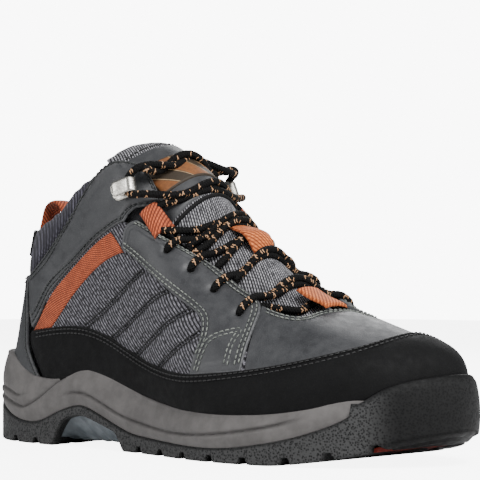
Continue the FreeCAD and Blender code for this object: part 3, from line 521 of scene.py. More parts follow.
def woven(name, dark, light, angle, rib, cross, depth=0.18, fleck=0.55, sheen=0.06, plane="xz"):
    """Ribbed textile: bright threads across fine ribs, laid at an angle on the boot's side."""
    make = Shader(name, roughness=0.82, sheen=sheen, specular=0.25)
    place = make.split(make.place())
    x, z = place[0], place[2] if plane == "xz" else place[1]
    c, s = math.cos(math.radians(angle)), math.sin(math.radians(angle))
    along = make.plus(make.times(x, c), make.times(z, s))
    across = make.math("SUBTRACT", make.times(z, c), make.times(x, s))
    if plane == "xyz":
        along = make.plus(along, make.times(place[1], 0.6))
    ribs = make.wave(along, rib)
    shift = make.times(make.math("ROUND", make.math("DIVIDE", along, rib)), cross / 2)
    threads = make.wave(make.plus(across, shift), cross)
    yarn_place = make.join(make.math("DIVIDE", along, rib * 0.8), make.math("DIVIDE", across, cross * 2.4))
    yarn = make.noise(yarn_place, 1.0, 1.0)
    weave = make.times(make.remap(ribs, 0.15, 0.8), make.remap(threads, 0.1, 0.9, 0.35, 1.0))
    bright = make.times(weave, make.remap(yarn, 0.5 - fleck / 2, 0.5 + fleck / 2))
    make.color(make.mix(bright, dark, light))
    make.bump(weave, depth)
    return make.material


def webbing(name, dark, light, rib=2.2, cross=1.4):
    """Woven tape: diagonal twill ribs along the piece's own length."""
    make = Shader(name, roughness=0.75, sheen=0.05, specular=0.15)
    weave = make.split(make.weave())
    diagonal = make.plus(weave[0], make.times(weave[1], 0.9))
    ribs = make.wave(diagonal, rib)
    threads = make.wave(weave[1], cross)
    pattern = make.times(make.remap(ribs, 0.1, 0.8, 0.1, 1.0), make.remap(threads, 0.0, 0.8, 0.5, 1.0))
    tone = make.noise(make.place(), 0.25, 3.0)
    shade = make.times(pattern, make.remap(tone, 0.3, 0.7, 0.6, 1.1), clamp=True)
    edge = make.remap(weave[2], 0.9, 0.1, 0.0, 0.6)
    make.color(make.mix(edge, make.mix(shade, dark, light), dark))
    make.bump(pattern, 0.16)
    return make.material


def rubber(name, dark, light, stipple=0.9, depth=0.22, roughness=0.62):
    """Moulded rubber with a pebbled stipple that comes and goes in patches."""
    make = Shader(name, roughness=roughness, specular=0.1)
    place = make.place()
    grain = make.cells(place, stipple)
    patch = make.split(make.weave())[0]
    dots = make.times(make.remap(grain, 0.1, 0.6), patch)
    make.color(make.mix(make.times(dots, 0.8), dark, light))
    dust = make.noise(place, 0.3, 4.0)
    make.put(make.bsdf, "Roughness", make.remap(dust, 0.3, 0.7, roughness - 0.1, roughness + 0.12))
    make.bump(dots, depth)
    return make.material


def foam(name, dark, light):
    """Moulded foam with fine pores and a soft mottle, and painted shade along its pressed lines and its foot.
    """
    make = Shader(name, roughness=0.66, specular=0.3)
    place = make.place()
    tone = make.noise(place, 0.12, 4.0, 0.6)
    pores = make.cells(place, 1.9)
    base = make.mix(make.remap(tone, 0.35, 0.65), dark, light)
    painted_line_shade = make.split(make.weave())[0]
    # Painted shade: the first weave number darkens the foam toward a third of its dark tone in the grooves
    # and along the foot.
    base = make.mix(make.times(painted_line_shade, 0.75), base, tuple(c * 0.35 for c in dark))
    make.color(make.mix(make.remap(pores, 0.05, 0.25, 0.25, 0.0), base, dark))
    make.bump(make.plus(pores, make.noise(place, 1.2)), 0.05)
    return make.material


def plastic(name, dark, light, roughness=0.4, depth=0.03):
    make = Shader(name, roughness=roughness)
    place = make.place()
    tone = make.noise(place, 0.2, 3.0)
    make.color(make.mix(make.remap(tone, 0.35, 0.65), dark, light))
    make.bump(make.noise(place, 1.5, 3.0), depth)
    return make.material


def textile(name, dark, light, scale=1.4, depth=0.15, sheen=0.3):
    """Plain knit: rows of small rounded loops."""
    make = Shader(name, roughness=0.88, sheen=sheen, specular=0.2)
    place = make.place()
    loops = make.cells(place, scale)
    tone = make.noise(place, 0.15, 3.0)
    base = make.mix(make.remap(loops, 0.2, 0.75), light, dark)
    make.color(make.mix(make.remap(tone, 0.3, 0.7, 0.0, 0.4), base, dark))
    make.bump(make.math("SUBTRACT", 1.0, loops), depth)
    return make.material


def metal(name):
    """Antique pewter plate: brushed, darker in its hollows."""
    make = Shader(name, roughness=0.32, metallic=1.0)
    place = make.split(make.place())
    streak = make.noise(make.join(make.times(place[0], 0.3), make.times(place[1], 4.0),
                                  make.times(place[2], 4.0)), 1.0, 4.0)
    spots = make.noise(make.place(), 0.35, 4.0, 0.65)
    base = make.mix(make.remap(streak, 0.3, 0.7), (0.30, 0.29, 0.26), (0.62, 0.60, 0.55))
    make.color(make.mix(make.remap(spots, 0.52, 0.75, 0.0, 0.7), base, (0.16, 0.15, 0.13)))
    make.put(make.bsdf, "Roughness", make.remap(spots, 0.3, 0.7, 0.22, 0.45))
    make.bump(streak, 0.02)
    return make.material


def cord(name, dark, fleck_color):
    """Round braid whose crossing yarns are black, with light flecks every few turns."""
    make = Shader(name, roughness=0.75, sheen=0.0, specular=0.12)
    weave = make.split(make.weave())
    turn = make.times(make.math("ARCTAN2", weave[2], weave[1]), 0.9)
    right = make.plus(weave[0], turn)
    left = make.math("SUBTRACT", weave[0], turn)
    a, b = make.wave(right, 1.4), make.wave(left, 1.4)
    strands = make.math("MAXIMUM", a, b)
    cell = make.join(make.math("ROUND", make.math("DIVIDE", right, 1.4)),
                     make.math("ROUND", make.math("DIVIDE", left, 1.4)))
    pick = make.node("ShaderNodeTexWhiteNoise", {"Vector": cell}, "Value", noise_dimensions="2D")
    group = make.noise(make.join(make.math("DIVIDE", weave[0], 7.0), 0.0), 1.0, 0.0)
    lit = make.times(make.math("GREATER_THAN", pick, 0.80), make.math("GREATER_THAN", group, 0.47))
    lit = make.times(lit, make.remap(strands, 0.55, 0.8))
    base = make.mix(make.remap(strands, 0.3, 1.0), tuple(c * 0.3 for c in dark), dark)
    make.color(make.mix(lit, base, fleck_color))
    make.bump(strands, 0.3)
    return make.material


def two_tone(name, ground, band, line):
    """Printed leather label: plain slanting bands between thin lines, with no lettering."""
    make = Shader(name, roughness=0.6, specular=0.25)
    weave = make.split(make.weave())
    slant = make.plus(weave[0], make.times(weave[1], 0.7))
    bands = make.wave(slant, 17.0)
    tone = make.noise(make.place(), 0.5, 4.0)
    shade = make.mix(make.remap(bands, 0.42, 0.5), ground, band)
    shade = make.mix(make.times(make.remap(bands, 0.30, 0.34), make.remap(bands, 0.42, 0.38)), shade, line)
    shade = make.mix(make.remap(tone, 0.3, 0.7, 0.0, 0.45), shade, ground)
    make.color(make.mix(make.remap(weave[2], 1.6, 1.0), shade, ground))
    make.bump(make.cells(make.place(), 1.6), 0.05)
    return make.material


GREY_LEATHER = leather("grey_leather", (0.018, 0.0185, 0.0205), (0.036, 0.0368, 0.039), (0.09, 0.091, 0.093))
# Painted shade: the grey leather at about half its brightness, for the heel strip in the shade at the back of
# the boot.
SHADED_GREY_LEATHER = leather("grey_leather_painted_shade", (0.011, 0.012, 0.0135), (0.020, 0.021, 0.0235), (0.045, 0.045, 0.046))
BLACK_LEATHER = leather("black_leather", (0.0016, 0.0016, 0.0017), (0.0038, 0.0038, 0.004),
                        (0.014, 0.014, 0.014), grain=1.1, roughness=0.72, depth=0.09, specular=0.12)
SIDE_MESH = woven("grey_mesh", (0.0015, 0.0015, 0.0025), (0.30, 0.29, 0.325), 44, 1.7, 0.85, fleck=0.45)
TONGUE_MESH = woven("tongue_mesh", (0.002, 0.002, 0.003), (0.52, 0.51, 0.54), 58, 1.8, 1.3, plane="xyz")
COLLAR_KNIT = woven("collar_knit", (0.006, 0.0055, 0.009), (0.125, 0.118, 0.155), 38, 1.8, 1.1, plane="xyz")
ORANGE = webbing("orange_webbing", (0.075, 0.014, 0.006), (0.52, 0.115, 0.045))
LIGHT_ORANGE = webbing("light_orange_webbing", (0.14, 0.026, 0.006), (0.72, 0.20, 0.055))
OUTSOLE = rubber("outsole_rubber", (0.0020, 0.0020, 0.0021), (0.052, 0.052, 0.052))
RED_RUBBER = rubber("insert_rubber", (0.10, 0.012, 0.008), (0.2, 0.03, 0.02))
FOAM = foam("midsole_foam", (0.072, 0.067, 0.065), (0.097, 0.091, 0.088))
SHANK = plastic("shank_plastic", (0.075, 0.088, 0.098), (0.125, 0.142, 0.155))
LINING = textile("lining_textile", (0.004, 0.004, 0.005), (0.016, 0.0155, 0.019))
FOOTBED = textile("footbed_textile", (0.012, 0.012, 0.014), (0.05, 0.05, 0.055), scale=0.9)
BOARD = textile("board_fibre", (0.26, 0.20, 0.13), (0.42, 0.34, 0.24), scale=0.7)
STIFFENER = plastic("stiffener_sheet", (0.50, 0.48, 0.43), (0.62, 0.60, 0.55), roughness=0.6)
METAL = metal("hook_metal")
CORD = cord("lace_cord", (0.0030, 0.0028, 0.0028), (0.42, 0.24, 0.13))
LABEL = two_tone("label_leather", (0.030, 0.021, 0.013), (0.20, 0.072, 0.022), (0.42, 0.27, 0.14))
GREY_THREAD = plastic("grey_thread", (0.075, 0.083, 0.074), (0.17, 0.18, 0.16), roughness=0.7)
DARK_THREAD = plastic("dark_thread", (0.012, 0.013, 0.013), (0.03, 0.032, 0.032), roughness=0.7)
BLACK_THREAD = plastic("black_thread", (0.002, 0.002, 0.002), (0.006, 0.006, 0.006), roughness=0.6)

# ---------------------------------------------------------------- CAD nodes that stay
for node, material in {"lasting_board": BOARD, "toe_puff": STIFFENER, "heel_counter": STIFFENER,
                       "forefoot_insert": RED_RUBBER}.items():
    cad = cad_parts[node]
    cad.data.materials.clear()
    cad.data.materials.append(material)


# ---------------------------------------------------------------- sole: outline and heights
SOLE_PLAN = [(-152, 0), (-139, -27), (-108, -41), (-60, -43), (-10, -45.5), (35, -54.5), (75, -54.5),
             (115, -41.5), (142, -19.5), (155.5, 8), (148, 31), (125, 46.5), (90, 54.5), (55, 54.5),
             (5, 44.5), (-50, 42), (-105, 41), (-139, 27)]
WALL_TOP = [(-154, 50), (-135, 49.5), (-120, 46.5), (-104, 38.8), (-89, 35.7), (-73, 36.5), (-62, 40.2),
            (-52, 42), (-45, 41.4), (-33, 37.8), (-9, 30.1), (16, 25.8), (54, 23.8), (90, 26.6),
            (118, 31.2), (131, 32)]
WALL_FOOT = [(-154, 24), (-132, 19.3), (-117, 14), (-101, 11.4), (-88, 12.9), (-73, 18.5), (-60, 21.7),
             (-48, 20.2), (-23, 11.4), (0, 8), (40, 6.4), (70, 7.8), (97, 12.8), (115, 18.8),
             (125, 24.6), (131, 32)]
BUMPER_TOP = [(128, 30), (131, 32), (135, 35.2), (140, 38.5), (145, 40.6), (150, 42), (158, 43.8)]
SEAT = [(-154, 29.6), (-108, 28.4), (-60, 27.4), (-10, 23.2), (33, 18.3), (74, 17.4), (112, 21.3),
        (138, 26.4), (158, 30.5)]
ARCH = [(-79.5, 0), (-76, 6.5), (-71, 12.8), (-65, 15.6), (-58, 16.7), (-50, 15.8), (-34, 11.2),
        (-27, 8.2), (-22, 0)]
HEEL_GROOVES = [-132, -112, -93]
FORE_GROOVES = [-8, 12, 32, 53, 74, 96]
MIDSOLE_TIP = 131


def read_line(points, x):
    """Height of a smooth line of (x, z) points at each x."""
    points = np.array(points, float)
    fine = through(points, np.linspace(0, 1, 400))
    return np.interp(x, fine[:, 0], fine[:, 1])


def smooth(value):
    value = np.clip(value, 0, 1)
    return value * value * (3 - 2 * value)


plan_fine = spline(np.array(SOLE_PLAN) * SCALE[:2], np.linspace(0, 18, 3600, endpoint=False), True)
plan_step = np.linalg.norm(np.diff(plan_fine, axis=0, append=plan_fine[:1]), axis=1)
PERIMETER = plan_step.sum()
plan_run = np.concatenate([[0], np.cumsum(plan_step)[:-1]])


def plan_loop(step):
    """Even points round the sole's outline, their outward normals and their runs from the heel."""
    run = np.arange(int(PERIMETER / step)) * PERIMETER / int(PERIMETER / step)
    at = np.stack([np.interp(run, plan_run, plan_fine[:, k], period=PERIMETER) for k in range(2)], -1)
    tangent = unit(np.roll(at, -1, 0) - np.roll(at, 1, 0))
    return at, np.stack([tangent[:, 1], -tangent[:, 0]], -1) * -1, run


def outward(at, normal):
    """Makes the outline's normals point away from the middle of the sole."""
    spine = np.stack([np.clip(at[:, 0], -105, 100), np.zeros(len(at))], -1)
    sign = np.sign(((at - spine) * normal).sum(-1, keepdims=True))
    return normal * sign, spine


def tread_height(x):
    """Underside of the sole: flat on the ground, bevelled at the heel, sprung at the toe."""
    back = np.clip(-143 - x, 0, None) * 0.75
    spring = 14.6 * (np.clip(x - 84, 0, None) / 74) ** 1.6
    arch = np.where((x > -79.5) & (x < -22), read_line(ARCH, x), 0)
    return back + spring + arch


def groove_mask(x, y, inset):
    """1 inside the tread's grooves, 0 on its lugs."""
    outer = np.zeros(np.shape(x))
    inner = np.zeros(np.shape(x))
    for centre in HEEL_GROOVES + FORE_GROOVES + [116, 134]:
        outer = np.maximum(outer, smooth((2.6 - np.abs(x - centre)) / 0.7))
        bent = x - centre - 9 - 0.3 * np.abs(y)
        inner = np.maximum(inner, smooth((2.2 - np.abs(bent)) / 0.8))
    channel = smooth((2.0 - np.abs(inset - 15)) / 0.8)
    mask = np.maximum(np.where(inset < 15, outer, inner), channel)
    return mask * (1 - smooth((-x - 140) / 3)) * (1 - smooth((x - 138) / 3))


def outsole_piece():
    """Outsole: wall, toe bumper and lugged underside in one skin."""
    at, normal, run = plan_loop(1.1)
    normal, spine = outward(at, normal)
    x = at[:, 0]
    foot = np.where(x < MIDSOLE_TIP, read_line(WALL_FOOT, x), read_line(BUMPER_TOP, x))
    foot = np.where(x < MIDSOLE_TIP - 6, foot, np.maximum(foot, read_line(BUMPER_TOP, x)))
    low = tread_height(x)
    toe = smooth((x - 126) / 22)
    arch = smooth((x + 82) / 5) * smooth((-20 - x) / 5)
    rows, notes = [], []
    tall = foot - low
    top = [(9, -3), (4, -1.2), (1.5, -0.15), (0.6, 0.25), (-0.1, -0.1), (-0.5, -0.7)]
    for inset, rise in top:
        rows.append((np.full(len(x), inset) + toe * 1.6 * (inset < 4), foot + 0.4 + rise))
        notes.append(0.4)
    for share in np.linspace(0.06, 0.9, 13):
        belly = -0.7 - toe * 2.0 * math.sin(math.pi * share) ** 0.7 + toe * (1 - share) * 1.2
        rows.append((belly + 0 * x, foot - 0.5 - share * (tall - 0.5)))
        notes.append(1.0)
    round_low = np.clip(1.0 + toe * 5 + smooth((-x - 140) / 8) * 2.5, 0, tall * 0.3)
    for angle in np.linspace(0.15, 1, 6) * math.pi / 2:
        rows.append((-0.6 + round_low * (1 - math.cos(angle)), low + round_low * (1 - math.sin(angle))))
        notes.append(0.8)
    grids = []
    for inset, z in rows:
        point = at - normal * inset[:, None]
        grids.append(np.column_stack([point, z]))
    wall_rows = len(grids)
    start = at - normal * (round_low - 0.4)[:, None]
    reach = np.linalg.norm(start - spine, axis=1)
    for share in np.linspace(0, 1, 44)[1:] ** 1.15:
        point = start * (1 - share) + spine * share
        inset = reach * share
        z = tread_height(point[:, 0])
        depth = 3.6 * groove_mask(point[:, 0], point[:, 1], inset)
        window = smooth((inset - 3.5) / 2.5) * arch * 1.2
        z = z + np.where(arch > 0.3, window, depth)
        grids.append(np.column_stack([point, z]))
        notes.append(0.35)
    grids = np.array(grids)
    # The notches at the edge cut up into the wall, too.
    for k in range(6, wall_rows):
        notch = groove_mask(grids[k][:, 0], grids[k][:, 1], np.full(len(x), 2.0)) * (arch < 0.3)
        floor = tread_height(grids[k][:, 0]) + 3.6 * notch
        grids[k][:, 2] = np.maximum(grids[k][:, 2], np.minimum(floor, foot))
    stipple = np.array(notes)[:, None] * (1 - 0.85 * smooth((x - 128) / 14) * smooth((-at[:, 1] + 60) / 60))
    count = grids.shape[0] * grids.shape[1]
    weave = np.stack([stipple, grids[..., 2], np.broadcast_to(run, stipple.shape)], -1)
    faces = grid_faces(grids.shape[0], grids.shape[1], wrap=True)
    return add_mesh("outsole_skin", grids.reshape(-1, 3), faces, OUTSOLE, weave=weave.reshape(-1, 3),
                    replaces=["outsole"], slot="outsole_rubber")


# Pressed lines of the midsole's wall, as (x, z); the last entry tells which ends fade.
HEEL_LINE = [(-134, 30), (-121, 28), (-114.6, 26.3), (-109.4, 25.7), (-102, 27.1), (-96.7, 28.5)]
RISING_LINE = [(-135, 25.5), (-119, 22.1), (-108, 19.7), (-101.4, 20.3), (-91.8, 24.3), (-84.7, 28.9),
               (-77.3, 34.1), (-72.8, 36.1)]
LONG_LINE = [(-74.6, 25.5), (-67.5, 27.9), (-60.3, 28.9), (-53, 28.3), (-44.6, 25.9), (-33.6, 21.7),
             (-22.3, 18.1), (-6.5, 15.3), (15.4, 12.8), (36.5, 12.4), (54, 13.5), (73, 15.9),
             (90, 19.1), (99.5, 21.7), (108.8, 24.5)]


def line_relief(run, z, line, plan, fade_start, fade_end, depth):
    """Outward offset and painted shade of one pressed line on the wall, darkest on the line as the shadow in
    its groove.
    """
    points = through(np.array(line, float), np.linspace(0, 1, 260))
    side_x, side_run = plan
    along = np.interp(points[:, 0], side_x, side_run)
    if not fade_start:
        along = np.concatenate([np.linspace(0, along[0], 20, endpoint=False), along])
        points = np.concatenate([np.column_stack([np.zeros(20), np.linspace(points[0, 1] + 1.5, points[0, 1],
                                                                              20)]), points])
    gap = np.hypot(run[..., None] - along, z[..., None] - points[:, 1])
    near = gap.argmin(-1)
    distance = np.take_along_axis(gap, near[..., None], -1)[..., 0]
    below = points[near, 1] - z
    travel = np.abs(along[near] - along[0])
    whole = abs(along[-1] - along[0])
    strength = np.ones_like(distance)
    if fade_start:
        strength = strength * smooth(travel / 16)
    if fade_end:
        strength = strength * smooth((whole - travel) / 20)
    cut = np.exp(-(distance / 0.85) ** 2)
    swell = np.where(below > 0, np.exp(-distance / 5.0), -0.5 * np.exp(-distance / 3.0)) * (distance < 14)
    # The second value is painted shade in the groove.
    return strength * (-depth * cut + 0.75 * swell), strength * np.exp(-(distance / 0.7) ** 2)


def midsole_piece():
    """Foam midsole: a cupped wall with pressed lines and a rounded lip, with painted shade in the lines and
    along its foot.
    """
    at, normal, run = plan_loop(1.3)
    normal, spine = outward(at, normal)
    signed = np.where(run > PERIMETER / 2, PERIMETER - run, run)
    half = run < PERIMETER / 2
    order = np.argsort(at[half, 0])
    plan = (at[half, 0][order], signed[half][order])
    keep = np.where(at[:, 0] < MIDSOLE_TIP + 0.5)[0]
    first = np.where(np.diff(keep) > 1)[0]
    keep = np.concatenate([keep[first[0] + 1:], keep[:first[0] + 1]]) if len(first) else keep
    at, normal, signed = at[keep], normal[keep], signed[keep]
    x = at[:, 0]
    top, foot = read_line(WALL_TOP, x), read_line(WALL_FOOT, x)
    tall = np.maximum(top - foot, 0.05)
    tip = smooth(tall / 6)
    rows, dark = [], []
    rows.append((7 + 0 * x, foot - 1.0))
    rows.append((1.4 + 0 * x, foot - 0.6))
    rows.append((0.75 + 0 * x, foot + 0.2 * tip))
    for share in np.linspace(0.03, 0.97, 30):
        bulge = 1.6 * math.sin(math.pi * share) ** 0.8 * smooth(tall / 16)
        lean = 2.2 * share ** 2 * smooth(tall / 22)
        rows.append((0.5 - bulge + lean, foot + share * (tall - 1.4 * tip)))
    lip = rows[-1][0]
    for angle in np.linspace(0.2, 1, 5) * math.pi / 2:
        rows.append((lip + 1.5 * (1 - math.cos(angle)), top - 1.4 * tip + 1.5 * tip * math.sin(angle)))
    rows.append((lip + 3.6, top - 0.3))
    rows.append((lip + 6.5, top - 3.5))
    inset = np.array([r[0] for r in rows])
    z = np.array([r[1] for r in rows])
    offset, shade = np.zeros_like(z), np.zeros_like(z)
    lengths = np.broadcast_to(signed, z.shape)
    # shade gathers the painted groove shade of each pressed line for the foam to darken.
    for line, start, end, depth in ((HEEL_LINE, False, True, 1.3), (RISING_LINE, False, False, 1.5),
                                    (LONG_LINE, True, True, 1.3)):
        push, painted_groove_shade = line_relief(lengths, z, line, plan, start, end, depth)
        offset, shade = offset + push, np.maximum(shade, painted_groove_shade)
    inside = (np.arange(len(rows)) > 2) & (np.arange(len(rows)) < len(rows) - 2)
    offset = offset * inside[:, None] * smooth(tall / 8)
    shade = shade * inside[:, None]
    # Painted shade: the three rows tucked in under the wall's foot carry a dark shadow line above the
    # outsole.
    shade[:3] = 0.8
    flat = at[None] - normal[None] * (inset - offset)[..., None]
    points = np.concatenate([flat, z[..., None]], -1)
    weave = np.stack([shade, z, lengths], -1)
    return add_mesh("midsole_skin", points.reshape(-1, 3), grid_faces(*z.shape), FOAM,
                    weave=weave.reshape(-1, 3), replaces=["midsole"], slot="midsole_foam")


def shank_piece():
    """Ribbed shank that shows in the arch, curving under the foot from side to side."""
    x = np.linspace(-77.5, -23, 110)
    turn = np.linspace(-1, 1, 90)
    along, across = np.meshgrid(x, turn, indexing="ij")
    y = across * 39.5
    roof = read_line(ARCH, np.clip(along, -79, -22.2)) + 1.4
    fall = smooth((1 - np.abs(across)) / 0.34)
    floor = np.minimum(3.2, roof)
    bent = along + 7.5 * (1 - fall)
    rib = 0.75 * np.abs(np.sin(math.pi * bent / 8.2)) ** 0.7
    z = roof * (1 - fall) + floor * fall - rib
    points = np.stack([along, y, z], -1)
    faces = grid_faces(len(x), len(turn), turn=True)
    return add_mesh("shank_ribs", points.reshape(-1, 3), faces, SHANK, replaces=["shank_plate"],
                    slot="shank_plastic")


outsole_piece()
midsole_piece()
shank_piece()

# ---------------------------------------------------------------- upper: seams and leather
FOOT = 0.03
RAND_TOP = [(2.17, .392), (2.68, .397), (3.30, .385), (3.96, .331), (4.55, .309), (5.14, .331),
            (5.92, .410), (6.76, .485), (7.54, .561), (8.20, .622), (9.0, .650)]
HEEL_SIDE = [(2.38, .03), (2.19, .226), (2.08, .326), (2.05, .452), (1.95, .552), (1.84, .690)]
ANKLE_LOW = [(2.20, .412), (2.36, .462), (2.55, .545), (2.78, .594), (3.04, .636), (3.38, .682),
             (3.66, .712), (4.05, .760)]
ANKLE_HIGH = [(1.96, .690), (2.39, .738), (2.92, .820), (3.33, .880), (3.65, .918), (3.92, .955),
              (4.16, 1.0), (4.38, 1.06)]
ANKLE_START = [(2.20, .412), (2.15, .452), (2.07, .552), (1.96, .690)]
ANKLE_END = [(4.05, .760), (4.30, .845), (4.54, .920), (4.72, 1.0), (4.71, 1.06), (4.58, 1.10), (4.38, 1.06)]
STRIPE_LOW = [(2.58, .395), (2.77, .460), (2.97, .519), (3.23, .573), (3.55, .619), (3.96, .658)]
STRIPE_HIGH = [(2.22, .395), (2.36, .450), (2.56, .534), (2.79, .587), (3.04, .628), (3.38, .674),
               (3.76, .714)]
EYESTAY_REAR = [(3.93, .668), (4.05, .740), (4.30, .800)]
EYESTAY_LOW = [(3.93, .668), (4.35, .644), (4.76, .632), (5.16, .623), (5.31, .586), (5.28, .500),
               (5.19, .420), (5.12, .320)]
EYESTAY_HIGH = [(4.30, .800), (4.62, .830), (4.89, .876), (5.30, .955), (5.70, .968), (6.05, .905),
                (6.28, .842), (6.15, .699), (6.02, .586), (5.95, .502), (5.90, .400)]
EYESTAY_FOOT = [(5.12, .320), (5.5, .360), (5.90, .400)]
VAMP_HIGH = [(6.30, .838), (6.62, .815), (6.95, .825), (7.32, .874), (7.93, .930), (9.0, .950)]
VAMP_START = [(5.90, .03), (5.92, .25), (5.96, .50), (6.12, .69), (6.30, .838)]
MESH_HIGH = [(2.5, .595), (3.4, .720), (4.1, .760), (4.8, .745), (5.4, .710), (5.98, .62)]
LACE_HOLES = [(4.78, .800), (5.15, .815), (5.52, .790), (5.90, .715)]
LACE_LOOP = ([(4.38, .835), (4.60, .790)], [(4.66, .992), (4.92, .980)])
SIDES = (("lateral", False), ("medial", True))
OVERLAY_IN = -0.4
# Rows of a double seam, in mm from the edge of a panel.
SEAM_ROWS = (1.7, 3.9)

grey_stitches, dark_stitches, black_stitches = Bundle(), Bundle(), Bundle()


def other_side(points):
    return [(RIB_COUNT - a, b) for a, b in reversed(points)]


def leather_swell(points, rim):
    """Slow unevenness of a lasted leather panel."""
    x, y, z = points[..., 0], points[..., 1], points[..., 2]
    close = np.sin(x / 9.0 + z / 13.0) * np.sin(z / 8.0 - y / 11.0)
    wide = 0.6 * np.sin(x / 23.0 + 1.3) * np.sin(z / 17.0)
    return 0.16 * (close + wide) * smooth((rim - 2) / 6)


def channelled(*insets, depth=0.35, base=leather_swell):
    """Leather relief with a pressed channel under each stitch row."""
    def relief(points, rim):
        cut = sum(np.exp(-((rim - inset) / 0.55) ** 2) for inset in insets)
        return base(points, rim) - depth * cut
    return relief


# Rubberised rand round the foot of the upper.
rand_high = RAND_TOP + other_side(RAND_TOP[:-1])
rand_start = [(2.45, .03), (2.29, .226), (2.18, .326), (2.17, .392)]
rand_panel = Panel([(2.45 + i * (RIB_COUNT - 4.9) / 8, FOOT) for i in range(9)], rand_high,
                   rand_start, [(RIB_COUNT - a, b) for a, b in rand_start])


def rand_relief(points, rim):
    return 0.35 * smooth(rim / 8) + 0.3 * leather_swell(points, rim) - 0.45 * (
        np.exp(-((rim - 1.6) / 0.5) ** 2) + np.exp(-((rim - 3.8) / 0.5) ** 2))


sheet_piece("rand_leather", rand_panel, BLACK_LEATHER, OVERLAY_IN, 1.25, relief=rand_relief,
            replaces=["rand"], slot="black_leather")
panel_stitches(black_stitches, rand_panel, "high", (1.6, 3.8), 1.2, 0.01, 0.99)

# Heel strip.
heel_low = [(-2.42, FOOT), (-1.2, FOOT), (0, FOOT), (1.2, FOOT), (2.42, FOOT)]
heel_high = [(-1.84, .690), (-1.0, .690), (0, .688), (1.0, .690), (1.84, .690)]
heel_panel = Panel(heel_low, heel_high, [(-a, b) for a, b in HEEL_SIDE], HEEL_SIDE)
# The heel strip is the grey leather with painted shade.
sheet_piece("heel_strip_leather", heel_panel, SHADED_GREY_LEATHER, OVERLAY_IN, 1.3, relief=channelled(1.7),
            replaces=["heel_strip"], slot="grey_leather")
panel_stitches(dark_stitches, heel_panel, "end", (1.7,), 1.3)
panel_stitches(dark_stitches, heel_panel, "start", (1.7,), 1.3)
panel_stitches(dark_stitches, heel_panel, "high", SEAM_ROWS, 1.3)

# Vamp.
vamp_panel = Panel([(5.90 + i * (RIB_COUNT - 11.8) / 6, FOOT) for i in range(7)],
                   VAMP_HIGH + other_side(VAMP_HIGH[:-1]), VAMP_START,
                   [(RIB_COUNT - a, b) for a, b in VAMP_START])
sheet_piece("vamp_leather", vamp_panel, GREY_LEATHER, -2.1, -0.25, roll=1.2, relief=channelled(*SEAM_ROWS),
            replaces=["vamp"], slot="grey_leather")
panel_stitches(grey_stitches, vamp_panel, "high", SEAM_ROWS, -0.3, 0.015, 0.985)

